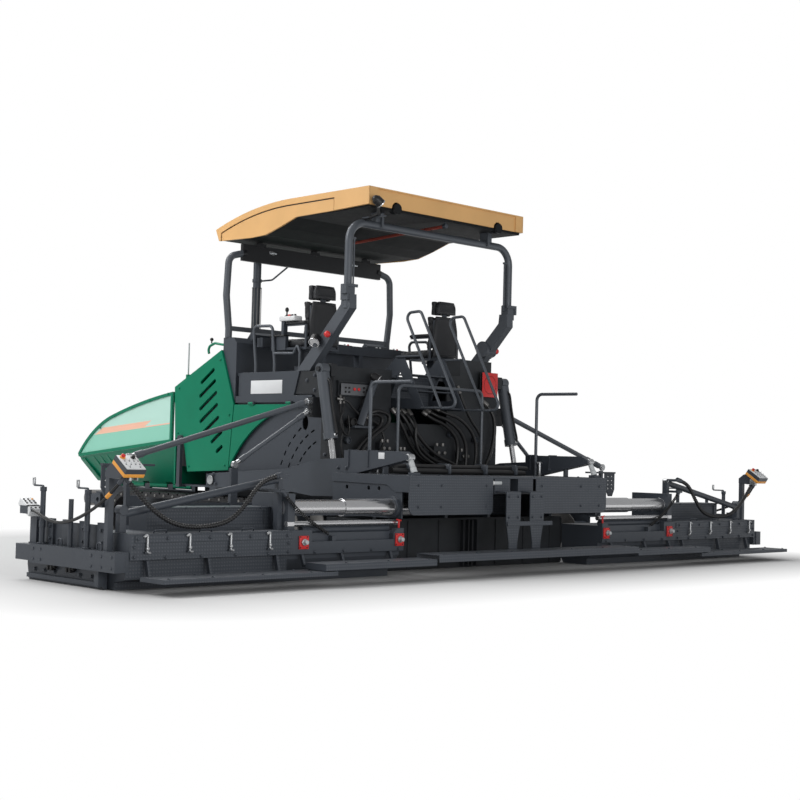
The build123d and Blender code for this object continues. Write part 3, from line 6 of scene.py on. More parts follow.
# Looks of the crawler paver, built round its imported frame.
# Row axes in metres: +X the machine's right, +Y the way it drives, +Z up.
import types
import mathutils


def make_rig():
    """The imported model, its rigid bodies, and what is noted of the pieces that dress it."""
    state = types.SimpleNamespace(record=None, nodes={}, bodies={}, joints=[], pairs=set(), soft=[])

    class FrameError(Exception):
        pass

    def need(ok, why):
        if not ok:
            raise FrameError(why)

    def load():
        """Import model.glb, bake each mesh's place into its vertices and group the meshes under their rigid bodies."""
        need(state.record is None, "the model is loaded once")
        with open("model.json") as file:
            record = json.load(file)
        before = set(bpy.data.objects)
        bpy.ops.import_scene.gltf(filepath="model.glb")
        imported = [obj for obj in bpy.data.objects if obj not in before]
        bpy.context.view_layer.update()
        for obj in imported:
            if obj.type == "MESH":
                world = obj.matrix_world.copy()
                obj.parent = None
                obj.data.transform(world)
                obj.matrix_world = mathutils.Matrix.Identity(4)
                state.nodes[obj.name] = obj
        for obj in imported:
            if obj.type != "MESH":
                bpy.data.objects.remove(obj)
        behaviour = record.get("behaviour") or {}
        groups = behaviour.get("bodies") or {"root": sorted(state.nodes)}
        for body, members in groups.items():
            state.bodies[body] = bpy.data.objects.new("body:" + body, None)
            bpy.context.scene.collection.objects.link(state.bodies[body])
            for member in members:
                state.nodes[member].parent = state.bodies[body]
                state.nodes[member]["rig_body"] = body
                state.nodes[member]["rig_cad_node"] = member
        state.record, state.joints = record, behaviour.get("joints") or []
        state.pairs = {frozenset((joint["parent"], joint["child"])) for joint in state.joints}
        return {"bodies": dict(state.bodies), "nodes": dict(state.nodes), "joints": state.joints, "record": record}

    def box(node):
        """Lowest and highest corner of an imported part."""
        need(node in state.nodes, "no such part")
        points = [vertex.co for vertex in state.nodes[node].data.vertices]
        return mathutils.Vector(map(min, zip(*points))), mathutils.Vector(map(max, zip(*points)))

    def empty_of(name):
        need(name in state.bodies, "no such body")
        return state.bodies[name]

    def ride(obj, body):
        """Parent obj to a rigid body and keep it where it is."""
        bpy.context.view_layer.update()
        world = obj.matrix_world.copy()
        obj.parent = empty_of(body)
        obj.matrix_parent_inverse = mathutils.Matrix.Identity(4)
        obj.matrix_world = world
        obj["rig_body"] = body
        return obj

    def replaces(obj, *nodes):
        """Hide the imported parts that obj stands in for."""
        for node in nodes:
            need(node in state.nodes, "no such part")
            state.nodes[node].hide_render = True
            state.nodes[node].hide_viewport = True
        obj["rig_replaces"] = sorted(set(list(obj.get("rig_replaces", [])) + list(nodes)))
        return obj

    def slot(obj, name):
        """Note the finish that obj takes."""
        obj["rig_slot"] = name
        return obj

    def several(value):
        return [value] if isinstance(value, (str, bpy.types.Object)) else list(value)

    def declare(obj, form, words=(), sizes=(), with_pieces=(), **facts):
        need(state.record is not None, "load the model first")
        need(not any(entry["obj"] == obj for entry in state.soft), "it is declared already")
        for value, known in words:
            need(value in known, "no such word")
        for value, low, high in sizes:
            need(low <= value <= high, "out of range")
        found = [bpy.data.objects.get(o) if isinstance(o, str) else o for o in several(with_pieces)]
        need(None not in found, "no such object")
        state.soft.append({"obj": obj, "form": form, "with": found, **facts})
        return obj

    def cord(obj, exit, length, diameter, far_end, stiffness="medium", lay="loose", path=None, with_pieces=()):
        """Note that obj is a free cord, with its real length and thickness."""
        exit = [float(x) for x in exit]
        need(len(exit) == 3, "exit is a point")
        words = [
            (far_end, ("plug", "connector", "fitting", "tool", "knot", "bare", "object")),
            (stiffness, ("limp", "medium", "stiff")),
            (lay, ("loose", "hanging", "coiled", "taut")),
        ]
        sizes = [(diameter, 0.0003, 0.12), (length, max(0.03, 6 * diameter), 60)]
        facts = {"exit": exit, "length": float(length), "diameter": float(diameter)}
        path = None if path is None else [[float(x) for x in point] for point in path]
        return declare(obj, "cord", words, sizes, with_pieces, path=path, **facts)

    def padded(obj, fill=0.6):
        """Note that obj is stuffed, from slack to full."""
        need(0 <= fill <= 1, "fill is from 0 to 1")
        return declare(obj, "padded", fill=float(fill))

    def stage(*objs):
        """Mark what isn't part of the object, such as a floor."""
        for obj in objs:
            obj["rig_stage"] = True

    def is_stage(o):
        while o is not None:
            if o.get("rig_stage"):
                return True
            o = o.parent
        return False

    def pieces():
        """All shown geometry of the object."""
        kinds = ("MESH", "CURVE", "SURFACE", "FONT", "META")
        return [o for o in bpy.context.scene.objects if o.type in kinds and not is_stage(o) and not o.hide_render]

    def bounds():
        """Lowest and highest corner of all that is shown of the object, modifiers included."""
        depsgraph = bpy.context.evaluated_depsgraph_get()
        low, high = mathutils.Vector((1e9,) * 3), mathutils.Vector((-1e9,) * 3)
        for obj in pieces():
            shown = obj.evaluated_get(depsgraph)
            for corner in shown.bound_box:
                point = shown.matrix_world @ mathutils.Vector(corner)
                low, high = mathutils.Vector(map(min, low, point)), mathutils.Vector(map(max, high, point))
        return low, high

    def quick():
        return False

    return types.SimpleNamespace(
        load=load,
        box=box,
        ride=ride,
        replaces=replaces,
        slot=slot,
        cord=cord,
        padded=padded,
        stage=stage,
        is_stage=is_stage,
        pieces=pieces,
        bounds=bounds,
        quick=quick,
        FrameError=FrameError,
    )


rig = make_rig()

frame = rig.load()
cad_box = [list(corner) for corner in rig.bounds()]

SIDES = ((-1, "left"), (1, "right"))
OUTER_X = cad_box[1][0]             # the machine's half width, which no bolt passes
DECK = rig.box("screed_deck")
DECK_TOP = DECK[1].z
REAR_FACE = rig.box("extension_frame_right")[0].y + 0.012   # rear face of the extension boxes
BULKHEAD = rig.box("rear_bulkhead")[0].y + 0.1              # rear face of the tractor's wall
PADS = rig.box("seat_pads")
UP, BACK = (0, 0, 1), (0, -1, 0)
WHITE = (1.0, 1.0, 1.0, 1.0)


# ------------------------------------------------------------- shader bricks
def new_material(name):
    mat = bpy.data.materials.new(name)
    mat.use_nodes = True
    tree = mat.node_tree
    return mat, tree, tree.nodes["Principled BSDF"]


def add(tree, kind, **values):
    """A node with its properties and plain socket values set."""
    node = tree.nodes.new(kind)
    for key, value in values.items():
        if key in node.inputs:
            node.inputs[key].default_value = value
        else:
            setattr(node, key, value)
    return node


def calc(tree, operation, *terms):
    """A math node on sockets and plain numbers."""
    node = add(tree, "ShaderNodeMath", operation=operation)
    for socket, term in zip(node.inputs, terms):
        if isinstance(term, (int, float)):
            socket.default_value = term
        else:
            tree.links.new(term, socket)
    return node.outputs[0]


def times(tree, *terms):
    return calc(tree, "MULTIPLY", *terms)


def plus(tree, *terms):
    return calc(tree, "ADD", *terms)


def minus(tree, *terms):
    return calc(tree, "SUBTRACT", *terms)


def larger(tree, *terms):
    return calc(tree, "MAXIMUM", *terms)


def size_of(tree, term):
    return calc(tree, "ABSOLUTE", term)


def above(tree, term, limit):
    return calc(tree, "GREATER_THAN", term, limit)


def below(tree, term, limit):
    return calc(tree, "LESS_THAN", term, limit)


def axes_of(tree, output):
    """The three parts of one output of the texture coordinates."""
    where = add(tree, "ShaderNodeTexCoord")
    apart = add(tree, "ShaderNodeSeparateXYZ")
    tree.links.new(where.outputs[output], apart.inputs[0])
    return apart.outputs[0], apart.outputs[1], apart.outputs[2]


def place_on(tree):
    """The piece's own x, y and z in metres."""
    return axes_of(tree, "Object")


def upward(tree):
    """1 on faces that look up in the piece's own frame, 0 on the rest."""
    return above(tree, axes_of(tree, "Normal")[2], 0.7)


def backward(tree):
    """1 on faces that look straight back, 0 on the rest."""
    return below(tree, axes_of(tree, "Normal")[1], -0.9)


def noise(tree, scale, detail=3.0):
    """Noise on the piece's own coordinates, in metres."""
    where = add(tree, "ShaderNodeTexCoord")
    grain = add(tree, "ShaderNodeTexNoise", Scale=scale, Detail=detail, Roughness=0.55)
    tree.links.new(where.outputs["Object"], grain.inputs["Vector"])
    return grain.outputs["Fac"]


def spread(tree, fac, low, high, from_low=0.0, from_high=1.0):
    """fac from one range to another, held at its ends."""
    node = add(tree, "ShaderNodeMapRange")
    node.inputs["From Min"].default_value = from_low
    node.inputs["From Max"].default_value = from_high
    node.inputs["To Min"].default_value = low
    node.inputs["To Max"].default_value = high
    tree.links.new(fac, node.inputs["Value"])
    return node.outputs["Result"]


def blend_colours(tree, fac, first, second):
    """first where fac is 0 and second where it is 1; each is a colour or a socket."""
    node = add(tree, "ShaderNodeMix", data_type="RGBA")
    tree.links.new(fac, node.inputs["Factor"])
    for key, colour in (("A", first), ("B", second)):
        if isinstance(colour, tuple):
            node.inputs[key].default_value = (*colour, 1.0)
        else:
            tree.links.new(colour, node.inputs[key])
    return node.outputs["Result"]


def near_line(tree, y, z, radius):
    """1 within radius of the line along x through y and z."""
    _, at_y, at_z = place_on(tree)
    squares = [times(tree, d, d) for d in (minus(tree, at_y, y), minus(tree, at_z, z))]
    far = calc(tree, "SQRT", plus(tree, *squares))
    return below(tree, far, radius)


def near_point(tree, point, radius):
    """1 within radius of a point and of its mirror image on the other side."""
    at_x, at_y, at_z = place_on(tree)
    dx = minus(tree, size_of(tree, at_x), point[0])
    dy = minus(tree, at_y, point[1])
    dz = minus(tree, at_z, point[2])
    squares = [times(tree, d, d) for d in (dx, dy, dz)]
    far = calc(tree, "SQRT", plus(tree, plus(tree, squares[0], squares[1]), squares[2]))
    return below(tree, far, radius)


def between(tree, value, low, high):
    """1 where value lies between low and high, 0 elsewhere."""
    return times(tree, above(tree, value, low), below(tree, value, high))


def lozenges(tree, along, across, pitch):
    """Height of the raised lozenges rolled into tread plate."""
    turn = 2 * math.pi / pitch
    first = calc(tree, "SINE", times(tree, plus(tree, along, across), turn))
    second = calc(tree, "SINE", times(tree, minus(tree, along, across), turn))
    return spread(tree, times(tree, first, second), 0.0, 1.0, 0.2, 0.6)


def rolled_tread(tree, pitch):
    """Lozenges on the faces that look up and on those that look back."""
    at_x, at_y, at_z = place_on(tree)
    top = times(tree, upward(tree), lozenges(tree, at_x, at_y, pitch))
    rear = times(tree, backward(tree), lozenges(tree, at_x, at_z, pitch))
    rear = times(tree, rear, 0.35)
    return plus(tree, top, rear)


# ------------------------------------------------------------- finishes
GRAPHITE = (0.05, 0.058, 0.071)
PALE_GRAPHITE = (0.085, 0.095, 0.11)
# near black, darker than the graphite; also laid where shade is painted: the roof's groove and behind the louvres
NEAR_BLACK = (0.016, 0.0185, 0.022)
GREEN = (0.0, 0.185, 0.098)
# painted shade: the green paint as it looks in shadow
SHADED_GREEN = (0.0, 0.075, 0.04)
MINT_HIGH = (0.50, 0.75, 0.66)
MINT_LOW = (0.28, 0.62, 0.49)
SALMON = (0.90, 0.52, 0.38)
ORANGE = (0.74, 0.43, 0.17)
STEEL = (0.46, 0.47, 0.48)
CHROME = (0.62, 0.62, 0.63)
RED = (0.62, 0.03, 0.03)
# grey laid on faces that look up: dust, and a painted sheen of the sky on the tops
DUST_AND_SHEEN = (0.30, 0.31, 0.33)
WORN_TREAD = (0.17, 0.18, 0.2)
WING_WALL = (1.2492, 1.2508)        # |x| of the wing's outer face


def paint(name, colour, roughness, metal=0.0, change=0.05, grain=0.15, dust_and_sheen=0.0, tread=0.0,
          marks=(), gloss=0.4, edge=0.004):
    """Sprayed paint: slow change of tone, fine grain, dust with a painted sheen of the sky on what looks up, rolled
    tread where asked.

    marks are (mask, colour, metal) laid over it, where mask is a function of the node tree."""
    mat, tree, bsdf = new_material(name)
    tone = colour(tree) if callable(colour) else None
    shift = spread(tree, noise(tree, 2.5), 0.0, 1.0, 0.3, 0.7)
    if tone is None:
        low = tuple(c * (1 - change) for c in colour)
        high = tuple(min(1.0, c * (1 + change)) for c in colour)
        tone = blend_colours(tree, shift, low, high)
    # dust and painted light: lighter patches on faces that look up stand in for the sky's sheen on the tops
    if dust_and_sheen:
        patches = spread(tree, noise(tree, 6.0, 5.0), 0.2 * dust_and_sheen, dust_and_sheen, 0.35, 0.75)
        tone = blend_colours(tree, times(tree, upward(tree), patches), tone, DUST_AND_SHEEN)
    raised = rolled_tread(tree, tread) if tread else None
    if tread:
        tone = blend_colours(tree, times(tree, raised, 0.6), tone, WORN_TREAD)
    shine = spread(tree, noise(tree, 9.0), roughness - 0.07, roughness + 0.09)
    height = times(tree, noise(tree, 260.0, 2.0), grain)
    metals = None
    for mask, other, hard in marks:
        on = mask(tree)
        tone = blend_colours(tree, on, tone, other)
        if hard:
            amount = times(tree, on, hard)
            metals = amount if metals is None else larger(tree, metals, amount)
            shine = minus(tree, shine, times(tree, on, 0.16))
            height = times(tree, height, minus(tree, 1.0, on))
    tree.links.new(tone, bsdf.inputs["Base Color"])
    if metals is None:
        bsdf.inputs["Metallic"].default_value = metal
    else:
        tree.links.new(metals, bsdf.inputs["Metallic"])
    tree.links.new(shine, bsdf.inputs["Roughness"])
    bsdf.inputs["Specular IOR Level"].default_value = gloss
    if tread:
        height = plus(tree, height, times(tree, raised, 3.0))
    bump = add(tree, "ShaderNodeBump", Strength=0.6, Distance=0.0012)
    tree.links.new(height, bump.inputs["Height"])
    if edge:
        soft_edge = add(tree, "ShaderNodeBevel", samples=4, Radius=edge)
        tree.links.new(soft_edge.outputs[0], bump.inputs["Normal"])
    tree.links.new(bump.outputs["Normal"], bsdf.inputs["Normal"])
    return mat


def wing_colour(tree):
    """Mint wall in two tones with a salmon stripe, inside a green rim; green elsewhere."""
    at_x, at_y, at_z = place_on(tree)
    rise = minus(tree, at_z, calc(tree, "MULTIPLY_ADD", at_y, -0.09, 1.4916))
    tone = blend_colours(tree, above(tree, rise, 0.0), MINT_LOW, MINT_HIGH)
    slant = calc(tree, "MULTIPLY_ADD", rise, 2.3, at_y)
    wide = times(tree, between(tree, rise, 0.0, 0.072), between(tree, slant, 1.54, 2.53))
    thin = times(tree, between(tree, rise, 0.0, 0.014), below(tree, at_y, 1.56))
    tone = blend_colours(tree, larger(tree, wide, thin), tone, SALMON)
    wall = between(tree, size_of(tree, at_x), *WING_WALL)
    shade = spread(tree, noise(tree, 2.0), 0.0, 1.0, 0.3, 0.7)
    body = blend_colours(tree, shade, (0.0, 0.165, 0.088), GREEN)
    return blend_colours(tree, wall, body, tone)


def seam(tree):
    """Painted shade: the groove round the roof's side panel, a thin band painted near black."""
    off = minus(tree, size_of(tree, place_on(tree)[0]), 1.158)
    return below(tree, size_of(tree, off), 0.0008)


def guide_tube(tree):
    """The thick chromed tube that the extension slides on."""
    return near_line(tree, REAR_FACE + 0.171, 0.634, 0.0712)


def guide_rod(tree):
    """The thin chromed rod below it."""
    return near_line(tree, REAR_FACE + 0.08, 0.5, 0.0262)


def rod_eyes(tree):
    """The bare eyes at both ends of the brace rods."""
    ends = ((1.45, -1.563, 1.62), (1.45, -1.563, 1.525), (3.48, -1.448, 1.03), (2.27, -1.448, 0.985))
    found = near_point(tree, ends[0], 0.075)
    for end in ends[1:]:
        found = larger(tree, found, near_point(tree, end, 0.07))
    return found


def arm_joints(tree):
    """The bare pins at both ends of the controls' arm."""
    low = near_point(tree, (4.43, REAR_FACE + 0.223, 0.625), 0.036)
    return larger(tree, near_point(tree, (2.87, REAR_FACE + 0.163, 0.9), 0.034), low)


def left_hoop(tree):
    """The mirror hoop on the console's left front corner."""
    at_x, at_y, _ = place_on(tree)
    return times(tree, below(tree, at_x, -1.15), above(tree, at_y, 0.119))


def header(tree):
    """The deep dark beam across the top of the front hoop."""
    at_x, _, at_z = place_on(tree)
    inside = below(tree, size_of(tree, at_x), 1.052)
    return times(tree, inside, above(tree, at_z, 3.19))


def shaft(tree):
    """The auger's shaft, inside its worn flights."""
    low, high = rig.box("auger_right")
    return near_line(tree, (low.y + high.y) / 2, (low.z + high.z) / 2, 0.052)


graphite = paint("graphite_paint", GRAPHITE, 0.4, 0.15, dust_and_sheen=0.12)
pale_graphite = paint("pale_graphite_paint", PALE_GRAPHITE, 0.38, 0.2)
tread_plate = paint("tread_plate", GRAPHITE, 0.42, 0.15, dust_and_sheen=0.25, tread=0.05)
tread_box = paint("tread_box", GRAPHITE, 0.42, 0.15, dust_and_sheen=0.12, tread=0.056)
near_black = paint("near_black_paint", NEAR_BLACK, 0.6, change=0.3)
green = paint("green_paint", GREEN, 0.36, gloss=0.25)
shaded_green = paint("deep_green_paint", SHADED_GREEN, 0.45, gloss=0.25)
wing_paint = paint("wing_paint", wing_colour, 0.4, gloss=0.3)
# the orange shell, with painted shade in the groove round its side panel
orange = paint("orange_shell", ORANGE, 0.45, marks=((seam, NEAR_BLACK, 0.0),))
liner = paint("dark_liner", (0.010, 0.011, 0.012), 0.7, grain=0.8, gloss=0.15)
vinyl = paint("seat_vinyl", (0.018, 0.019, 0.022), 0.5, grain=2.4, change=0.15, edge=0.0)
iron = paint("track_steel", (0.028, 0.028, 0.03), 0.55, 0.4, change=0.4, dust_and_sheen=0.25)
steel = paint("bare_steel", STEEL, 0.34, 0.85, change=0.12)
worn_steel = paint("worn_steel", (0.2, 0.195, 0.19), 0.42, 0.7, change=0.35)
chrome = paint("chrome", CHROME, 0.2, 0.95, 0.03, 0.0)
rubber = paint("black_rubber", (0.014, 0.014, 0.015), 0.38, grain=0.4, change=0.2, edge=0.0)
red = paint("red_enamel", RED, 0.35)
white = paint("white_enamel", (0.72, 0.73, 0.74), 0.4)
plate_grey = paint("plate_grey", (0.5, 0.52, 0.53), 0.42)
panel_grey = paint("panel_grey", (0.12, 0.125, 0.135), 0.4, 0.3)
box_orange = paint("box_orange", (0.83, 0.36, 0.06), 0.42)
black_plastic = paint("black_plastic", (0.01, 0.01, 0.011), 0.42, grain=0.6)
screen = paint("dark_screen", (0.01, 0.014, 0.017), 0.12, grain=0.0)
tube_frame = paint("guide_frame", GRAPHITE, 0.42,
                   marks=((guide_tube, CHROME, 0.95), (guide_rod, CHROME, 0.95)))
brace_paint = paint("brace_paint", PALE_GRAPHITE, 0.4, marks=((rod_eyes, STEEL, 0.9),))
post_paint = paint("post_paint", GRAPHITE, 0.4, marks=((arm_joints, STEEL, 0.9),))
console_paint = paint("console_paint", GRAPHITE, 0.42, marks=((left_hoop, GREEN, 0.0),))
hoop_paint = paint("hoop_paint", PALE_GRAPHITE, 0.4, marks=((header, (0.014, 0.015, 0.017), 0.0),))
auger_paint = paint("auger_steel", (0.16, 0.155, 0.15), 0.4, marks=((shaft, GRAPHITE, 0.0),), change=0.3)


def glass():
    mat, tree, bsdf = new_material("lamp_glass")
    facets = spread(tree, noise(tree, 90.0), 0.0, 1.0, 0.4, 0.6)
    tone = blend_colours(tree, facets, (0.3, 0.32, 0.34), (0.62, 0.65, 0.68))
    tree.links.new(tone, bsdf.inputs["Base Color"])
    bsdf.inputs["Roughness"].default_value = 0.08
    bsdf.inputs["Metallic"].default_value = 0.5
    return mat


lamp_glass = glass()

FINISHES = {
    "graphite_paint": graphite,
    "green_paint": green,
    "mint_paint": wing_paint,
    "orange_shell": orange,
    "dark_liner": liner,
    "seat_vinyl": vinyl,
    "track_steel": iron,
    "bare_steel": steel,
    "chrome": chrome,
    "black_rubber": rubber,
}

# nodes with a finish of their own instead of their slot's plain one
OWN_FINISH = {node: finish for finish, nodes in (
    (tread_plate, "screed_walkway footboard_left footboard_right screed_deck stairs platform"),
    (tread_box, "extension_box_left extension_box_right"),
    (tube_frame, "extension_frame_left extension_frame_right"),
    (brace_paint, "brace_rods"),
    (post_paint, "controls_left controls_right"),
    (console_paint, "front_console"),
    (hoop_paint, "front_hoop"),
    (pale_graphite, "rear_hoop screed_rails handrails lift_barrel_left lift_barrel_right"),
    (near_black, "screed_box rear_bulkhead engine"),
    (worn_steel, "conveyor push_roller_left push_roller_right"),
    (auger_paint, "auger_left auger_right"),
) for node in nodes.split()}


def dress_nodes():
    """Each CAD node takes its own finish, or that of its slot in the record."""
    for part in frame["record"]["subparts"]:
        name = part["node"]
        node = frame["nodes"][name]
        node.data.materials.clear()
        node.data.materials.append(OWN_FINISH.get(name, FINISHES[part["material_slot"]]))


# ------------------------------------------------------------- modelling hand tools
def let_go():
    bpy.ops.object.select_all(action="DESELECT")


def link(thing):
    """Puts a new object in the scene."""
    bpy.context.scene.collection.objects.link(thing)


def pick(piece):
    """Makes a piece the one that operators work on."""
    let_go()
    piece.select_set(True)
    bpy.context.view_layer.objects.active = piece


def apply_new(kind, **values):
    """Puts a modifier on the active piece and applies it."""
    bpy.ops.object.modifier_add(type=kind)
    modifier = bpy.context.object.modifiers[-1]
    for key, value in values.items():
        setattr(modifier, key, value)
    bpy.ops.object.modifier_apply(modifier=modifier.name)


def settle(edge=0.0):
    """Puts the new piece's place in its mesh and rounds its edges."""
    bpy.ops.object.transform_apply(location=True, rotation=True, scale=True)
    if edge:
        apply_new("BEVEL", width=edge, segments=2)
    return bpy.context.object


def block(low, high, edge=0.003):
    let_go()
    middle = [(a + b) / 2 for a, b in zip(low, high)]
    bpy.ops.mesh.primitive_cube_add(size=1, location=middle)
    bpy.context.object.scale = [abs(b - a) for a, b in zip(low, high)]
    return settle(edge)


def rod(start, end, radius, sides=20, edge=0.0):
    let_go()
    start, end = Vector(start), Vector(end)
    way = end - start
    turn = way.to_track_quat("Z", "Y").to_euler()
    bpy.ops.mesh.primitive_cylinder_add(vertices=sides, radius=radius, depth=way.length,
                                        location=(start + end) / 2, rotation=turn)
    return settle(edge)


def pick_faces(piece, chosen):
    """Goes into edit mode with the faces that pass a test selected."""
    bpy.ops.object.mode_set(mode="EDIT")
    bpy.ops.mesh.select_all(action="DESELECT")
    bpy.ops.object.mode_set(mode="OBJECT")
    for face in piece.data.polygons:
        face.select = chosen(face)
    bpy.ops.object.mode_set(mode="EDIT")


def cup(start, end, radius, hollow):
    """A round housing, open at its far end: the end face is inset and pushed in."""
    piece = rod(start, end, radius, 28)
    way = (Vector(end) - Vector(start)).normalized()
    pick_faces(piece, lambda face: face.normal.dot(way) > 0.9)
    bpy.ops.mesh.inset(thickness=radius * 0.16)
    bpy.ops.mesh.extrude_region_move(TRANSFORM_OT_translate={"value": way * -hollow})
    bpy.ops.object.mode_set(mode="OBJECT")
    return piece


def ball(centre, radius, flat=1.0):
    let_go()
    bpy.ops.mesh.primitive_uv_sphere_add(segments=20, ring_count=12, radius=radius, location=centre)
    bpy.context.object.scale = (1, 1, flat)
    return settle()


def thread(line, points):
    """Gives a curve one smooth line through a route of points."""
    spline = line.splines.new("NURBS")
    spline.points.add(len(points) - 1)
    for knot, point in zip(spline.points, points):
        knot.co = (*point, 1)
    spline.order_u = 3
    spline.use_endpoint_u = True


def route(points):
    """Points on the smooth line of a route, read from its own spline."""
    line = bpy.data.curves.new("route", "CURVE")
    line.dimensions = "3D"
    line.resolution_u = 20
    thread(line, points)
    holder = bpy.data.objects.new("route", line)
    link(holder)
    mesh = bpy.data.meshes.new_from_object(holder)
    found = [vertex.co.copy() for vertex in mesh.vertices]
    bpy.data.objects.remove(holder)
    bpy.data.meshes.remove(mesh)
    bpy.data.curves.remove(line)
    return found


def hose(points, radius, sides=6):
    """A smooth tube through a route, as a mesh."""
    let_go()
    bpy.ops.curve.primitive_nurbs_path_add()
    line = bpy.context.object.data
    line.splines.clear()
    thread(line, points)
    line.resolution_u = 8
    line.bevel_depth = radius
    line.bevel_resolution = sides // 2
    line.use_fill_caps = True
    bpy.ops.object.convert(target="MESH")
    return settle()


def even_steps(line, step):
    """Points one step apart along a line of points."""
    found = [line[0]]
    left = step
    for start, end in zip(line, line[1:]):
        run = (end - start).length
        done = 0.0
        while run - done >= left:
            done += left
            found.append(start.lerp(end, done / run))
            left = step
        left -= run - done
    return found


def frames_along(line):
    """A pair of cross directions at each point, carried along without twist."""
    side = (line[1] - line[0]).orthogonal().normalized()
    pairs = []
    for i in range(len(line)):
        way = (line[min(i + 1, len(line) - 1)] - line[max(i - 1, 0)]).normalized()
        side = (side - way * side.dot(way)).normalized()
        pairs.append((side.copy(), way.cross(side)))
    return pairs


def ring(centre, side, up, radius, count):
    """Points of a circle round a centre, in the plane of side and up."""
    return [centre + (side * math.cos(a) + up * math.sin(a)) * radius
            for a in (2 * math.pi * j / count for j in range(count))]


def tube_rings(line, radius, count):
    """Rings of a plain round tube along a line of points."""
    return [ring(centre, side, up, radius, count) for centre, (side, up) in zip(line, frames_along(line))]


def skin_rings(name, rings):
    """A tube with closed ends, skinned over rings of points."""
    count = len(rings[0])
    points = [point for one in rings for point in one]
    faces = []
    for i in range(len(rings) - 1):
        for j in range(count):
            k = (j + 1) % count
            faces.append((i * count + j, i * count + k, (i + 1) * count + k, (i + 1) * count + j))
    faces.append(tuple(reversed(range(count))))
    faces.append(tuple((len(rings) - 1) * count + j for j in range(count)))
    mesh = bpy.data.meshes.new(name)
    mesh.from_pydata(points, [], faces)
    piece = bpy.data.objects.new(name, mesh)
    link(piece)
    pick(piece)
    bpy.ops.object.shade_smooth_by_angle(angle=math.radians(50))
    return piece


def ribbed_tube(name, line, radius, pitch, depth):
    """Corrugated conduit: its rings stand proud of the valleys between them."""
    steps = even_steps(line, pitch / 4)
    wave = (radius, radius, radius - depth, radius - depth)
    rings = [ring(centre, side, up, wave[i % 4], 12)
             for i, (centre, (side, up)) in enumerate(zip(steps, frames_along(steps)))]
    return skin_rings(name, rings), steps


def coiled_tube(name, line, radius, wire, pitch, sides=6):
    """Curly cord: a wire wound in a helix round the route."""
    turn_steps = 14
    steps = even_steps(line, pitch / turn_steps)
    winding = []
    for i, (centre, (side, up)) in enumerate(zip(steps, frames_along(steps))):
        a = 2 * math.pi * i / turn_steps
        winding.append(centre + (side * math.cos(a) + up * math.sin(a)) * (radius - wire))
    return skin_rings(name, tube_rings(winding, wire, sides)), steps


def gather(*parts):
    """Several made pieces joined into one mesh."""
    let_go()
    for part in parts:
        part.select_set(True)
    bpy.context.view_layer.objects.active = parts[0]
    if len(parts) > 1:
        bpy.ops.object.join()
    return bpy.context.view_layer.objects.active


def colour(piece, finish):
    piece.data.materials.clear()
    piece.data.materials.append(finish)
    return piece


def slab(finish, low, high, edge=0.003):
    """A block in its finish."""
    return colour(block(low, high, edge), finish)


def bar(finish, start, end, radius, sides, edge=0.0):
    """A rod in its finish."""
    return colour(rod(start, end, radius, sides, edge), finish)


def upright(finish, x, y, bottom, top, radius, sides, edge=0.0):
    """A rod that stands on x and y."""
    return bar(finish, (x, y, bottom), (x, y, top), radius, sides, edge)


def peg(finish, x, z, front, back, radius, sides, edge=0.0):
    """A rod that lies along y at x and z."""
    return bar(finish, (x, front, z), (x, back, z), radius, sides, edge)


def on_side(side, points):
    """Points of the right side, carried to this side."""
    return [(side * x, y, z) for x, y, z in points]


def on_flank(x, ahead_of, spots):
    """Points at one x from how far each lies ahead of a place and how high it lies."""
    return [(x, ahead_of + y, z) for y, z in spots]


def laid_at(place, degrees):
    """A function that lays a piece made at the origin in its place, tilted back."""
    tilt = Matrix.Translation(place) @ Matrix.Rotation(math.radians(degrees), 4, "X")

    def laid(piece):
        piece.data.transform(tilt)
        return piece

    return laid


def hang(name, body, slot, *parts):
    """Joins the parts, names the piece and hangs it on its body."""
    piece = gather(*parts)
    piece.name = name
    pick(piece)
    bpy.ops.object.shade_smooth_by_angle(angle=math.radians(35))
    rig.ride(piece, body)
    if slot:
        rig.slot(piece, slot)
    return piece


def facing(point, way, turn=0.0):
    """Place and turn that carry a piece made along +Z to a point, looking along way."""
    spin = Vector(way).to_track_quat("Z", "Y").to_matrix().to_4x4()
    return Matrix.Translation(point) @ spin @ Matrix.Rotation(turn, 4, "Z")


def copies(original, places):
    """One copy, with its own mesh, at each place; the original goes."""
    made = []
    for place in places:
        copy = original.copy()
        copy.data = original.data.copy()
        copy.data.transform(place)
        link(copy)
        made.append(copy)
    bpy.data.objects.remove(original)
    return made


def mirrored(piece):
    """The same piece on the other side of the machine."""
    copy = piece.copy()
    copy.data = piece.data.copy()
    copy.data.transform(Matrix.Scale(-1, 4, (1, 0, 0)))
    copy.data.flip_normals()
    link(copy)
    return copy


def bolt_head(size):
    """Hexagon head on a washer, made at the origin along +Z."""
    head = rod((0, 0, 0), (0, 0, size * 0.65), size * 0.58, 6, size * 0.06)
    washer = rod((0, 0, -0.001), (0, 0, size * 0.14), size * 0.85, 18)
    return gather(head, washer)


def bolts(name, body, finish, size, *groups):
    """A set of bolts on one body; a group is the way its bolts look and where they sit."""
    spots = [(point, way) for way, points in groups for point in points]
    made = copies(colour(bolt_head(size), finish),
                  [facing(point, way, 0.3 * i) for i, (point, way) in enumerate(spots)])
    return hang(name, body, None, *made)


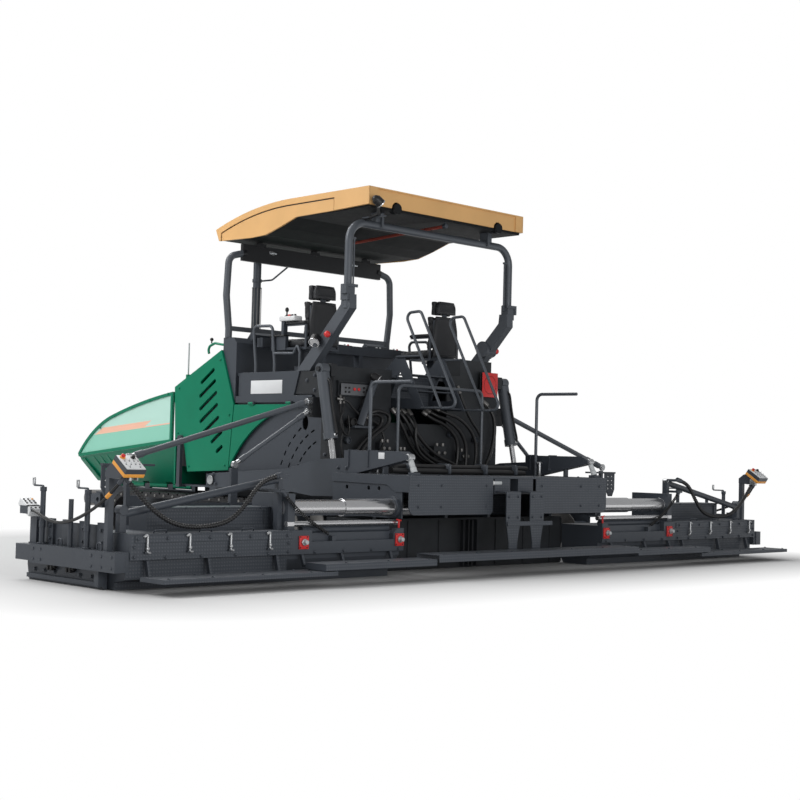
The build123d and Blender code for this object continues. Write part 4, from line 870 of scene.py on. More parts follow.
# ------------------------------------------------------------- camera
def camera():
    """Low three-quarter view from behind the machine's left side."""
    eye = bpy.data.cameras.new("camera")
    eye.lens = 65.53
    eye.sensor_width = 36
    eye.shift_x = 0.0206
    eye.shift_y = -0.0091
    eye.clip_end = 200
    body = bpy.data.objects.new("camera", eye)
    link(body)
    turn = Matrix.Rotation(math.radians(-44.25), 3, "Z")
    tilt = Matrix.Rotation(math.radians(92.45), 3, "X")
    roll = Matrix.Rotation(math.radians(1.494), 3, "Z")
    body.matrix_world = Matrix.Translation((-10.994, -12.423, 1.112)) @ (turn @ tilt @ roll).to_4x4()
    bpy.context.scene.camera = body


# ------------------------------------------------------------- cords
# routes on the right side, as they hang in the photo
CONDUIT_Y = REAR_FACE + 0.053
CONDUIT = [(x, CONDUIT_Y, z) for x, z in (
    (3.000, 0.905), (3.110, 0.880), (3.210, 0.800), (3.320, 0.665), (3.450, 0.550), (3.620, 0.500),
    (3.850, 0.488), (4.050, 0.520), (4.220, 0.610), (4.370, 0.735), (4.480, 0.850))]
LEVER_Y = REAR_FACE + 0.028
LEVER = [(x, LEVER_Y, z) for x, z in (
    (2.900, 0.745), (2.800, 0.650), (2.650, 0.545), (2.500, 0.460), (2.400, 0.412))]
GATE = [(x, REAR_FACE + y, z) for x, y, z in (
    (4.560, 0.078, 0.835), (4.595, 0.148, 0.748), (4.610, 0.278, 0.660), (4.610, 0.448, 0.585),
    (4.610, 0.643, 0.520), (4.610, 0.843, 0.492), (4.610, 1.023, 0.518), (4.610, 1.158, 0.560),
    (4.610, 1.243, 0.580))]


def length_of(line):
    return sum((b - a).length for a, b in zip(line, line[1:]))


def cord_tag(name, body, line):
    """A short orange sleeve clipped round a cord near its start."""
    i = int(0.09 * (len(line) - 1))
    half = (line[i + 1] - line[i - 1]).normalized() * 0.055 / 2
    return hang(name, body, None, bar(box_orange, line[i] - half, line[i] + half, 0.0165, 18, 0.002))


def lay_cord(piece, body, node, steps, diameter, stiffness, **more):
    """Hangs a finished cord on its body in place of its CAD node."""
    colour(piece, rubber)
    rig.ride(piece, body)
    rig.replaces(piece, node)
    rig.slot(piece, "black_rubber")
    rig.cord(piece, exit=steps[0], length=length_of(steps), diameter=diameter, far_end="object",
            stiffness=stiffness, lay="hanging", path=steps, **more)


def cords():
    """Conduit, lever cord and gate cable of each extension, which the photo shows from end to end."""
    for side, name in SIDES:
        body = "extension_" + name
        conduit, lever, gate = [route(on_side(side, points)) for points in (CONDUIT, LEVER, GATE)]
        piece, steps = ribbed_tube("conduit_hose_" + name, conduit, 0.0215, 0.027, 0.008)
        lay_cord(piece, body, "cord_conduit_" + name, steps, 0.042, "medium")
        piece, steps = coiled_tube("curly_cord_" + name, lever, 0.0165, 0.0058, 0.021, 8)
        lay_cord(piece, body, "cord_lever_" + name, steps, 0.03, "limp")
        tag = cord_tag("cable_tag_" + name, body, gate)
        steps = even_steps(gate, 0.012)
        piece = skin_rings("gate_cable_" + name, tube_rings(steps, 0.013, 14))
        lay_cord(piece, body, "cord_gate_" + name, steps, 0.026, "medium", with_pieces=[tag])


# ------------------------------------------------------------- seats
def swell(piece):
    """Pressure swells the active piece like stuffing; no point moves further than the limit."""
    limit = 0.024
    apply_new("REMESH", mode="VOXEL", voxel_size=0.006)
    start = [vertex.co.copy() for vertex in piece.data.vertices]
    bpy.ops.object.modifier_add(type="CLOTH")
    cloth = piece.modifiers[-1]
    cloth.settings.use_pressure = True
    cloth.settings.uniform_pressure_force = 4
    cloth.settings.effector_weights.gravity = 0
    for step in range(1, 21):
        bpy.context.scene.frame_set(step)
    seen = piece.evaluated_get(bpy.context.evaluated_depsgraph_get())
    swollen = [vertex.co.copy() for vertex in seen.data.vertices]
    piece.modifiers.remove(cloth)
    bpy.context.scene.frame_set(1)
    for vertex, was, now in zip(piece.data.vertices, start, swollen):
        move = now - was
        if move.length > limit:
            move.length = limit
        vertex.co = was + move


def pad(low, high, channels):
    """A padded vinyl piece: swollen from a slightly smaller form, then sewn channels."""
    inset = min(0.012, 0.2 * min(b - a for a, b in zip(low, high)))
    piece = block([a + inset for a in low], [b - inset for b in high], 0.012)
    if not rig.quick():
        swell(piece)
    for axis, mid, depth, width in channels:
        for vertex in piece.data.vertices:
            away = (vertex.co[axis] - mid) / width
            vertex.co -= vertex.normal * depth * math.exp(-away * away)
    apply_new("SUBSURF", levels=1, render_levels=1)
    for axis in range(3):
        places = [vertex.co[axis] for vertex in piece.data.vertices]
        least, most = min(places), max(places)
        for vertex, place in zip(piece.data.vertices, places):
            vertex.co[axis] = low[axis] + (place - least) * (high[axis] - low[axis]) / (most - least)
    return piece


def seat_shell(low, high, crown):
    """Upholstered back of a seat: a crowned shell with a sunk seam round its middle panel."""
    low, high = [min(a, b) for a, b in zip(low, high)], [max(a, b) for a, b in zip(low, high)]
    piece = block(low, high)
    pick_faces(piece, lambda face: face.normal.y < -0.9)
    bpy.ops.mesh.inset(thickness=0.035)
    bpy.ops.mesh.inset(thickness=0.008, depth=-0.008)
    bpy.ops.mesh.inset(thickness=0.008, depth=0.008)
    bpy.ops.object.mode_set(mode="OBJECT")
    apply_new("SUBSURF", levels=2, render_levels=2)
    width, height = high[0] - low[0], high[2] - low[2]
    for vertex in piece.data.vertices:
        across = 2 * (vertex.co.x - low[0]) / width - 1
        up = (vertex.co.z - low[2]) / height
        vertex.co.x -= across * width * 0.10 * max(0.0, up - 0.6) / 0.4
        vertex.co.y += crown * 0.6 * (across * across + max(0.0, up - 0.75))
        vertex.co.y = min(vertex.co.y, high[1])
    return piece


def seats():
    """Five pads on each seat, and the upholstered shells behind them."""
    y, z = PADS[0].y, PADS[0].z
    # name, low and high corner, then the channels: axis, place, depth and width
    table = (
        ("seat_cushion", (0.725, y, z), (1.115, y + 0.48, z + 0.095),
         ((0, 0.82, 0.007, 0.009), (0, 1.02, 0.007, 0.009))),
        ("seat_backrest", (0.730, y, z + 0.113), (1.110, y + 0.095, z + 0.475),
         ((0, 0.82, 0.006, 0.008), (0, 1.02, 0.006, 0.008), (2, z + 0.235, 0.005, 0.008))),
        ("seat_headrest", (0.780, y, z + 0.495), (1.060, y + 0.09, z + 0.65), ()),
        ("seat_armrest_inner", (0.676, y, z + 0.235), (0.722, y + 0.3, z + 0.275), ()),
        ("seat_armrest_outer", (1.116, y, z + 0.235), (1.162, y + 0.3, z + 0.275), ()),
    )
    for name, low, high, channels in table:
        piece = colour(pad(low, high, channels), vinyl)
        for cushion, side in ((piece, "right"), (mirrored(piece), "left")):
            cushion.name = name + "_" + side
            pick(cushion)
            bpy.ops.object.shade_smooth()
            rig.ride(cushion, "tractor")
            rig.replaces(cushion, "seat_pads")
            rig.slot(cushion, "seat_vinyl")
            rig.padded(cushion, fill=0.8)
    front, rear = y - 0.064, y - 0.0225
    shells = (((0.728, front, z + 0.02), (1.112, rear, z + 0.475), 0.03),
              ((0.775, front, z + 0.505), (1.065, rear, z + 0.645), 0.02))
    for side, name in SIDES:
        parts = [colour(seat_shell(*on_side(side, (low, high)), crown), vinyl) for low, high, crown in shells]
        hang("seat_shell_" + name, "tractor", "seat_vinyl", *parts)


# ------------------------------------------------------------- screed
def control_box(side, name):
    """Orange band, white lid and knobs on the tilted control box."""
    body = "extension_" + name
    laid = laid_at((side * 4.52, REAR_FACE, 0.972), 34)
    hang("control_band_" + name, body, None,
         laid(slab(box_orange, (-0.0935, -0.0995, -0.0375), (0.0935, 0.0995, -0.004), 0.004)))
    hang("control_lid_" + name, body, None,
         laid(slab(white, (-0.0862, -0.0922, 0.034), (0.0862, 0.0922, 0.0436))))
    x, y = -0.05, 0.058
    stop = gather(rod((x, y, 0.049), (x, y, 0.06), 0.012), ball((x, y, 0.064), 0.019, 0.5))
    parts = [laid(upright(box_orange, x, y, 0.043, 0.05, 0.024, 24, 0.001)), laid(colour(stop, red))]
    x, y = 0.045, 0.055
    parts.append(laid(gather(upright(black_plastic, x, y, 0.043, 0.047, 0.021, 24, 0.001),
                             upright(black_plastic, x, y, 0.046, 0.064, 0.014, 12, 0.002))))
    for y, xs in ((0.012, (-0.055, -0.012, 0.03, 0.068)), (-0.033, (-0.065, -0.02, 0.022, 0.06)),
                  (-0.07, (-0.05, 0.045))):
        for x in xs:
            parts += [laid(upright(black_plastic, x, y, 0.043, 0.046, 0.0062, 12)),
                      laid(bar(plate_grey, (x, y, 0.045), (x, y + 0.004, 0.062), 0.003, 8))]
    hang("control_knobs_" + name, body, None, *parts)
    hang("control_plugs_" + name, body, "bare_steel",
         slab(steel, (side * 4.455, REAR_FACE - 0.02, 0.865), (side * 4.449, REAR_FACE + 0.05, 0.935), 0.001),
         upright(steel, side * 4.46, REAR_FACE - 0.005, 0.885, 0.925, 0.012, 16, 0.001),
         upright(steel, side * 4.505, REAR_FACE + 0.005, 0.86, 0.9, 0.013, 16, 0.001))


def level_box(side, name):
    """Bright remote box tilted on the front end of the gate, with its keys and strap."""
    body = "extension_" + name
    laid = laid_at((side * 4.569, REAR_FACE + 1.353, 0.602), 28)
    parts = [laid(slab(white, (-0.059, -0.1, -0.036), (0.059, 0.1, 0.036), 0.01)),
             laid(slab(black_plastic, (-0.0602, -0.045, -0.0375), (0.0602, -0.025, 0.0375), 0.004))]
    for x in (-0.04, 0.0, 0.04):
        for y in (-0.075, 0.005, 0.035, 0.065):
            finish = box_orange if (x, y) == (0.04, 0.065) else black_plastic
            parts.append(laid(upright(finish, x, y, 0.0355, 0.0425, 0.009, 12, 0.001)))
    hang("level_box_" + name, body, None, *parts)
    clamps = []
    inner, outer = side * 4.53, side * 4.575
    for y in (REAR_FACE + 0.74, REAR_FACE + 1.02):
        clamps.append(peg(black_plastic, side * 4.545, 0.135, y - 0.06, y + 0.06, 0.02, 14, 0.003))
        for near, far in ((-0.035, -0.01), (0.015, 0.04)):
            clamps.append(slab(black_plastic, (inner, y + near, 0.10), (outer, y + far, 0.165), 0.006))
    hang("gate_clamps_" + name, body, None, *clamps)


def sockets(side, name):
    """Red socket plates with their silver plugs on the extension's rear face, and a red pin."""
    body = "extension_" + name
    for place, x in (("inner", 1.502), ("outer", 2.662)):
        mid, z = side * (x + 0.055), 0.348
        parts = [slab(red, (side * (x - 0.002), REAR_FACE - 0.0145, 0.288),
                      (side * (x + 0.104), REAR_FACE - 0.001, 0.402)),
                 peg(steel, mid, z, REAR_FACE - 0.014, REAR_FACE - 0.03, 0.03, 24, 0.003),
                 peg(plate_grey, mid, z, REAR_FACE - 0.03, REAR_FACE - 0.062, 0.019, 16, 0.003)]
        near, far = REAR_FACE - 0.0135, REAR_FACE - 0.018
        parts += [peg(black_plastic, mid + dx, z + dz, near, far, 0.006, 10)
                  for dz in (-0.045, 0.045) for dx in (-0.04, 0.038)]
        hang(f"socket_{place}_{name}", body, None, *parts)
    y = REAR_FACE + 0.03
    hang("red_pin_" + name, body, None,
         upright(red, side * 1.53, y, 0.449, 0.52, 0.01, 12, 0.001),
         bar(red, (side * 1.50, y, 0.515), (side * 1.56, y, 0.525), 0.007, 12, 0.001))


def latches(side, name):
    """Four galvanised draw handles along the bolted box, and the grips of its lid."""
    body = "extension_" + name
    y = REAR_FACE - 0.02
    parts = []
    for x in (3.1, 3.515, 3.93, 4.34):
        bend = ((x - 0.03, y, 0.300), (x, y, 0.300), (x, y, 0.33), (x, y, 0.40), (x, y, 0.436),
                (x, y - 0.002, 0.440), (x + 0.035, y, 0.425))
        parts += [colour(hose(on_side(side, bend), 0.0098, 8), steel),
                  peg(steel, side * x, 0.335, y - 0.012, y + 0.012, 0.014, 16, 0.001)]
    hang("draw_handles_" + name, body, "bare_steel", *parts)
    grips = []
    for x in (3.28, 3.72, 4.17):
        bend = [(x + dx, REAR_FACE + dy, z) for dx, dy, z in (
            (-0.06, 0.06, 0.449), (-0.06, 0.05, 0.47), (-0.05, 0.045, 0.474),
            (0.05, 0.045, 0.474), (0.06, 0.05, 0.47), (0.06, 0.06, 0.449))]
        grips.append(colour(hose(on_side(side, bend), 0.006), graphite))
    hang("lid_grips_" + name, body, "graphite_paint", *grips)


def screed_bolts(side, name):
    """Bolts of the extension's box, of its end beam and of its step."""
    body, out = "extension_" + name, (side, 0, 0)
    rear = [(side * x, REAR_FACE - 0.0085, 0.41) for x in (2.9, 3.3, 3.72, 4.14, 4.42)]
    rear += [(side * x, REAR_FACE, z) for x in (2.88, 4.45) for z in (0.27, 0.345)]
    rear += [(side * x, REAR_FACE, 0.262) for x in (1.56, 1.9, 2.24, 2.58, 3.1, 3.45, 3.8, 4.15)]
    bolts("box_bolts_" + name, body, graphite, 0.02, (BACK, rear))
    beam = [(side * (OUTER_X - 0.0158), REAR_FACE + y, z) for y in (0.05, 0.19, 0.33, 1.08, 1.19)
            for z in (0.185, 0.27)]
    beam += [(side * 4.53, REAR_FACE + y, 0.09) for y in (0.45, 0.62, 1.0, 1.15, 1.3)]
    beam += [(side * 4.53, REAR_FACE + y, z) for y in (0.34, 0.6, 1.09) for z in (0.36, 0.46)]
    bolts("beam_bolts_" + name, body, graphite, 0.024, (out, beam))
    step = [(side * x, REAR_FACE + 0.30 - 0.014, 0.6335) for x in (2.95, 3.35, 3.75, 4.08)]
    bolts("step_bolts_" + name, body, graphite, 0.014, (BACK, step))


def crank_grips(side, name):
    """Bare grips on the cranked screws of the end gate."""
    x = side * 4.568
    parts = []
    for y in (REAR_FACE + 1.156, REAR_FACE + 0.488):
        parts += [upright(steel, x, y + 0.15, 0.79, 0.8505, 0.0135, 16, 0.003),
                  upright(graphite, x, y, 0.74, 0.777, 0.0275, 24, 0.003),
                  upright(graphite, x, y, 0.3055, 0.32, 0.036, 24, 0.003)]
    hang("crank_grips_" + name, "extension_" + name, None, *parts)


def walk_boards():
    """Studs of the footboards."""
    low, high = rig.box("screed_walkway")
    rear, top = low.y, high.z - 0.006
    studs = [(x, rear + 0.05, top) for x in (-1.44, -0.95, -0.45, 0.45, 0.95, 1.44)]
    studs += [(x, rear + 0.15, top) for x in (-1.46, 1.46)]
    bolts("walk_bolts", "screed", graphite, 0.02, (UP, studs))
    for side, name in SIDES:
        studs = [(side * x, rear + y, 0.13) for y in (0.05, 0.28) for x in (2.98, 3.5, 4.0, 4.42)]
        studs += [(side * x, rear + 0.04, 0.194) for x in (1.6, 2.1, 2.6)]
        bolts("board_bolts_" + name, "extension_" + name, graphite, 0.016, (UP, studs))


def deck_fittings():
    """Bolts, gauge, hose bundle, turnbuckles, screws and blank plates of the deck."""
    panel = REAR_FACE - 0.049
    rear = [(s * x, panel, z) for s in (-1, 1) for x in (0.42, 1.05, 1.36) for z in (0.64, 0.84)]
    rear += [(s * x, -3.172, z) for s in (-1, 1) for x in (0.11, 0.245) for z in (0.54, 0.74)]
    top = [(s * x, panel + 0.04, 0.931) for s in (-1, 1) for x in (0.35, 0.7, 1.05, 1.4)]
    bolts("deck_bolts", "screed", graphite, 0.018, (BACK, rear), (UP, top))
    y, z = -3.007, 0.868
    hang("level_gauge", "screed", None,
         bar(plate_grey, (-0.326, y, z), (-0.189, y, z), 0.0215, 24, 0.002),
         bar(white, (-0.33, y, z), (-0.30, y, z), 0.0235, 24, 0.002))
    bundle = []
    for i, (dy, dz, radius) in enumerate(((0.0, 0.032, 0.03), (0.055, 0.03, 0.027), (0.028, 0.078, 0.024),
                                          (0.105, 0.027, 0.024))):
        y, z = DECK[1].y - 0.42 + dy, DECK_TOP + dz
        run = [(-1.12 + 0.05 * i, y - 0.02, z + 0.006), (-1.0, y, z), (-0.7, y + 0.02, z + 0.002),
               (-0.35, y - 0.01, z), (0.05, y + 0.02, z), (0.4, y + 0.01, z), (0.7 + 0.06 * i, y, z),
               (0.85 + 0.06 * i, y + 0.01, z - 0.004)]
        bundle.append(colour(hose(run, radius, 10), rubber))
    for x in (-0.85, -0.3, 0.25, 0.72):
        bundle.append(slab(graphite, (x - 0.02, DECK[1].y - 0.47, DECK_TOP),
                           (x + 0.02, DECK[1].y - 0.28, DECK_TOP + 0.112), 0.02))
    hang("deck_hoses", "screed", "black_rubber", *bundle)
    for side, name in SIDES:
        x = side * 1.355
        hang("turnbuckle_" + name, "screed", "bare_steel",
             bar(steel, (x, -2.903, 1.09), (x, -2.958, 0.975), 0.0212, 20, 0.002),
             bar(plate_grey, (x, -2.946, 1.0), (x, -2.968, 0.954), 0.0302, 24, 0.003),
             bar(plate_grey, (x, -2.915, 1.065), (x, -2.946, 1.0), 0.0265, 24, 0.003),
             bar(steel, (side * 1.318, -2.903, 1.095), (side * 1.392, -2.903, 1.095), 0.0335, 24, 0.002))
        y, z = -2.33, DECK_TOP + 0.14
        hang("deck_screw_" + name, "screed", "bare_steel",
             upright(steel, side * 1.22, y, DECK_TOP, DECK_TOP + 0.15, 0.016, 16, 0.002),
             bar(steel, (side * 1.18, y, z), (side * 1.26, y, z), 0.009, 12, 0.001))
        x = side * 1.411
        hang("arm_plate_" + name, "screed", None,
             slab(white, (x - 0.0015, -2.62, 1.075), (x + 0.0015, -2.54, 1.135), 0.001))


# ------------------------------------------------------------- tractor
def arm_and_mount_bolts():
    """Bolts of the tow arms, the tractor's flanks and the green side panels, and the tow pins' caps."""
    for side, name in SIDES:
        out = (side, 0, 0)
        arm = on_flank(side * 1.41, 0, ((-2.1, 0.8), (-2.1, 0.98), (-1.98, 0.8), (-1.98, 0.98),
                                        (-0.02, 0.86), (-0.06, 0.76), (0.06, 0.76)))
        bolts("arm_bolts_" + name, "screed", graphite, 0.028, (out, arm))
        mount = on_flank(side * 1.234, BULKHEAD, (
            (0.05, 1.0), (0.05, 1.2), (0.05, 1.4), (0.05, 1.62), (0.12, 1.1), (0.12, 1.3), (0.3, 1.9),
            (0.42, 1.85), (0.3, 1.75)))
        mount += on_flank(side * 1.21, BULKHEAD, (
            (0.36, 0.78), (0.62, 0.78), (0.9, 0.78), (1.2, 0.78), (0.3, 1.5), (0.75, 1.55)))
        bolts("mount_bolts_" + name, "tractor", graphite, 0.026, (out, mount))
        panel = on_flank(side * 1.25, 0, ((0.13, 2.1), (0.86, 1.8), (0.86, 1.3), (0.64, 0.93), (0.0, 0.96),
                                          (-0.05, 1.5)))
        bolts("panel_bolts_" + name, "tractor", green, 0.018, (out, panel))
        hang("tow_pin_cap_" + name, "tractor", "bare_steel",
             bar(steel, (side * 1.425, 0.017, 0.8), (side * 1.434, 0.017, 0.8), 0.05, 28, 0.003))


def wing_fittings():
    """Bolts along the upper edge of the hopper wings."""
    for side, name in SIDES:
        spots = on_flank(side * 1.264, 0, (
            (1.05, 1.74), (1.4, 1.66), (1.75, 1.585), (2.1, 1.49), (2.4, 1.35)))
        bolts("wing_bolts_" + name, "hopper_wing_" + name, green, 0.016, ((side, 0, 0), spots))


def wall_hoses():
    """Hydraulic hoses over the rear wall: loops beside the post, bundles falling from under the stairs."""
    y = BULKHEAD
    # radius, how far it stands off, then its points across and up the wall
    table = (
        (0.021, 0.09, ((-0.84, 1.50), (-0.78, 1.55), (-0.68, 1.56), (-0.54, 1.52), (-0.57, 1.41),
            (-0.76, 1.31), (-0.93, 1.16), (-1.0, 1.0))),
        (0.021, 0.06, ((-0.82, 1.47), (-0.77, 1.52), (-0.70, 1.53), (-0.61, 1.49), (-0.64, 1.40),
            (-0.82, 1.29), (-0.98, 1.15), (-1.04, 1.0))),
        (0.019, 0.08, ((-0.36, 1.58), (-0.33, 1.52), (-0.23, 1.38), (-0.09, 1.20), (0.10, 1.08),
            (0.34, 1.02), (0.42, 0.99))),
        (0.019, 0.05, ((-0.42, 1.58), (-0.38, 1.50), (-0.27, 1.34), (-0.16, 1.18), (-0.01, 1.06),
            (0.25, 1.01), (0.34, 0.98))),
        (0.017, 0.10, ((-0.28, 1.58), (-0.25, 1.50), (-0.17, 1.36), (-0.02, 1.22), (0.20, 1.10),
            (0.42, 1.04), (0.52, 0.99))),
        (0.017, 0.12, ((-0.20, 1.58), (-0.18, 1.46), (-0.20, 1.30), (-0.14, 1.14), (0.04, 1.05),
            (0.16, 1.0))),
        (0.019, 0.09, ((0.08, 1.60), (0.14, 1.54), (0.34, 1.50), (0.54, 1.38), (0.64, 1.20), (0.62, 1.02))),
        (0.019, 0.06, ((0.04, 1.57), (0.10, 1.51), (0.30, 1.46), (0.48, 1.34), (0.54, 1.18), (0.50, 1.01))),
        (0.017, 0.11, ((0.20, 1.62), (0.28, 1.57), (0.50, 1.52), (0.70, 1.38), (0.78, 1.18), (0.74, 1.0))),
        (0.015, 0.05, ((0.56, 1.86), (0.60, 1.70), (0.72, 1.52), (0.90, 1.36), (0.94, 1.16), (0.88, 1.0))),
        (0.021, 0.08, ((0.98, 1.72), (1.06, 1.62), (1.10, 1.42), (1.06, 1.22), (0.98, 1.06), (0.94, 1.0))),
        (0.011, 0.05, ((-1.18, 1.66), (-1.10, 1.65), (-1.03, 1.57), (-0.86, 1.47), (-0.70, 1.45),
            (-0.64, 1.40))),
        (0.010, 0.06, ((-1.12, 1.66), (-1.15, 1.55), (-1.21, 1.47), (-1.17, 1.33), (-1.09, 1.29),
            (-1.07, 1.40), (-1.10, 1.50))),
        (0.010, 0.04, ((-1.16, 1.68), (-1.19, 1.50), (-1.13, 1.36), (-1.18, 1.22), (-1.14, 1.08))),
        (0.013, 0.05, ((-0.62, 1.42), (-0.56, 1.30), (-0.60, 1.18), (-0.72, 1.08), (-0.78, 1.0))),
    )
    parts = []
    for radius, proud, run in table:
        line = [(x, y - proud * min(1.0, 0.15 + 0.85 * i), z) for i, (x, z) in enumerate(run)]
        start, toward = Vector(line[0]), Vector(line[1])
        parts += [colour(hose(line, radius, 8), rubber),
                  bar(worn_steel, start + (start - toward).normalized() * 0.02, start.lerp(toward, 0.4),
                      radius * 1.35, 12, 0.002)]
    hang("wall_hoses", "tractor", "black_rubber", *parts)
    knobs = [colour(cup((x, y - 0.01, 1.43), (x, y - 0.09, 1.43), 0.045, 0.02), black_plastic)
             for x in (-1.04, -0.86)]
    hang("lamp_post", "tractor", None,
         bar(graphite, (-0.94, y - 0.07, 1.40), (-0.755, y - 0.07, 1.85), 0.052, 4, 0.006),
         slab(graphite, (-1.06, y - 0.12, 1.375), (-0.80, y - 0.002, 1.40), 0.004), *knobs)
    fittings = []
    for x, z, wide, high in ((-0.56, 1.18, 0.15, 0.12), (-0.3, 1.12, 0.11, 0.09), (0.26, 1.15, 0.18, 0.14),
                             (0.64, 1.12, 0.14, 0.1)):
        for dx in (-wide / 4, wide / 4):
            top = z + high / 2
            fittings += [peg(worn_steel, x + dx, z, y - 0.07, y - 0.082, 0.02, 6, 0.001),
                         upright(worn_steel, x + dx, y - 0.04, top, top + 0.035, 0.017, 16, 0.001)]
    for x, z in ((-1.05, 1.25), (-0.15, 1.35), (0.45, 1.35), (0.85, 1.3), (0.0, 1.2), (-0.8, 1.42)):
        fittings.append(colour(cup((x, y + 0.002, z), (x, y - 0.03, z), 0.035, 0.012), graphite))
    hang("wall_fittings", "tractor", None, *fittings)


def wall_panels():
    """Switch panel and red sign plate on the rear wall."""
    y = BULKHEAD
    parts = [slab(panel_grey, (-1.178, y - 0.034, 1.702), (-0.792, y - 0.0295, 1.818), 0.002)]
    for x, z, size in ((-1.0, 1.765, 0.016), (-0.94, 1.765, 0.016), (-0.87, 1.782, 0.012),
                       (-0.87, 1.742, 0.012), (-0.83, 1.762, 0.010), (-1.07, 1.775, 0.010),
                       (-1.12, 1.775, 0.010), (-1.07, 1.735, 0.010), (-1.12, 1.735, 0.010)):
        finish = red if size == 0.016 else black_plastic
        parts.append(peg(finish, x, z, y - 0.033, y - 0.046, size, 18, 0.002))
    hang("switch_panel", "tractor", None, *parts)
    plate = slab(red, (0.903, y - 0.0525, 1.778), (1.157, y - 0.0495, 2.047), 0.001)
    turn = Matrix.Rotation(math.pi / 2, 4, "X")
    dots = [Matrix.Translation((1.03 + 0.098 * math.cos(a), y - 0.0525, 1.912 + 0.098 * math.sin(a))) @ turn
            for a in (2 * math.pi * k / 40 for k in range(40))]
    hang("red_plate", "tractor", None, plate, *copies(upright(black_plastic, 0, 0, 0, 0.003, 0.004, 8), dots))


def work_lamp(name, place, way, radius):
    """Round lamp: housing, rim, lens and back."""
    place, way = Vector(place), Vector(way).normalized()
    hang(name, "tractor", None,
         colour(cup(place - way * 0.045, place + way * 0.03, radius, 0.012), black_plastic),
         colour(cup(place + way * 0.024, place + way * 0.034, radius * 1.04, 0.006), chrome),
         bar(lamp_glass, place + way * 0.012, place + way * 0.024, radius * 0.82, 28, 0.003),
         colour(ball(place - way * 0.045, radius * 0.8), black_plastic))


def lamps():
    """Lamps under the roof, on the legs and on the wall, and the lock knobs."""
    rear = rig.box("canopy_roof")[0].y
    for side, name in SIDES:
        x, z = side * 0.77, 3.588
        hang("roof_lamp_" + name, "tractor", None,
             peg(lamp_glass, x, z, rear - 0.004, rear + 0.004, 0.044, 32, 0.002),
             colour(cup((x, rear + 0.02, z), (x, rear - 0.0045, z), 0.053, 0.004), black_plastic))
        x = side * 1.298
        work_lamp("leg_lamp_" + name, (x, -1.46, 2.242), (side * 0.7, -0.35, -0.75), 0.055)
        hang("leg_lamp_stem_" + name, "tractor", None,
             bar(graphite, (side * 1.225, -1.47, 2.20), (x, -1.46, 2.20), 0.013, 12),
             upright(graphite, x, -1.46, 2.18, 2.215, 0.018, 14, 0.002))
        x = side * 0.62
        hang("front_lamp_" + name, "tractor", None,
             slab(lamp_glass, (x - 0.055, 0.04, 3.316), (x + 0.055, 0.088, 3.34), 0.01))
        y, z = -1.618, 2.305
        hang("lock_knob_" + name, "tractor", None,
             bar(steel, (side * 1.235, y, z), (side * 1.262, y, z), 0.016, 16),
             colour(ball((side * 1.275, y, z), 0.034), red))
    work_lamp("corner_lamp", (-1.10, -2.135, 3.605), (0.75, -0.25, -0.6), 0.048)
    hang("corner_lamp_post", "tractor", None,
         bar(black_plastic, (-1.02, -1.86, 3.47), (-1.06, -2.10, 3.50), 0.017, 14, 0.002),
         bar(black_plastic, (-1.06, -2.09, 3.49), (-1.10, -2.115, 3.60), 0.015, 14, 0.002),
         slab(graphite, (-1.05, -2.13, 3.475), (-0.99, -1.84, 3.49)))
    work_lamp("post_lamp", (-0.735, BULKHEAD - 0.085, 1.885), (0.5, -0.75, -0.5), 0.046)


def seat_console(side, name):
    """White pod with its keys and stick beside a seat."""
    y, z = PADS[0].y, PADS[0].z
    x, top = side * 1.145, z + 0.325
    inner, outer = x - side * 0.02, x + side * 0.02
    arm = [slab(white, (x - 0.055, y + 0.11, top - 0.05), (x + 0.055, y + 0.36, top), 0.012),
           slab(graphite, (x - 0.03, y + 0.31, z + 0.12), (x + 0.03, y + 0.35, top - 0.045), 0.006)]
    for dy, size, finish in ((0.14, 0.012, black_plastic), (0.185, 0.012, black_plastic), (0.23, 0.018, red),
                             (0.275, 0.012, black_plastic)):
        arm.append(upright(finish, outer, y + dy, top - 0.001, top + 0.018, size, 16, 0.003))
    stick_y = y + 0.32
    stick = gather(rod((inner, stick_y, top - 0.004), (inner, stick_y, top + 0.06), 0.008, 12),
                   ball((inner, stick_y, top + 0.075), 0.02, 1.3),
                   cup((inner, stick_y, top - 0.002), (inner, stick_y, top + 0.012), 0.022, 0.004))
    arm += [colour(stick, black_plastic),
            slab(black_plastic, (x - 0.045, y + 0.285, z + 0.12), (x + 0.045, y + 0.525, z + 0.135), 0.006)]
    hang("seat_console_" + name, "tractor", None, *arm)


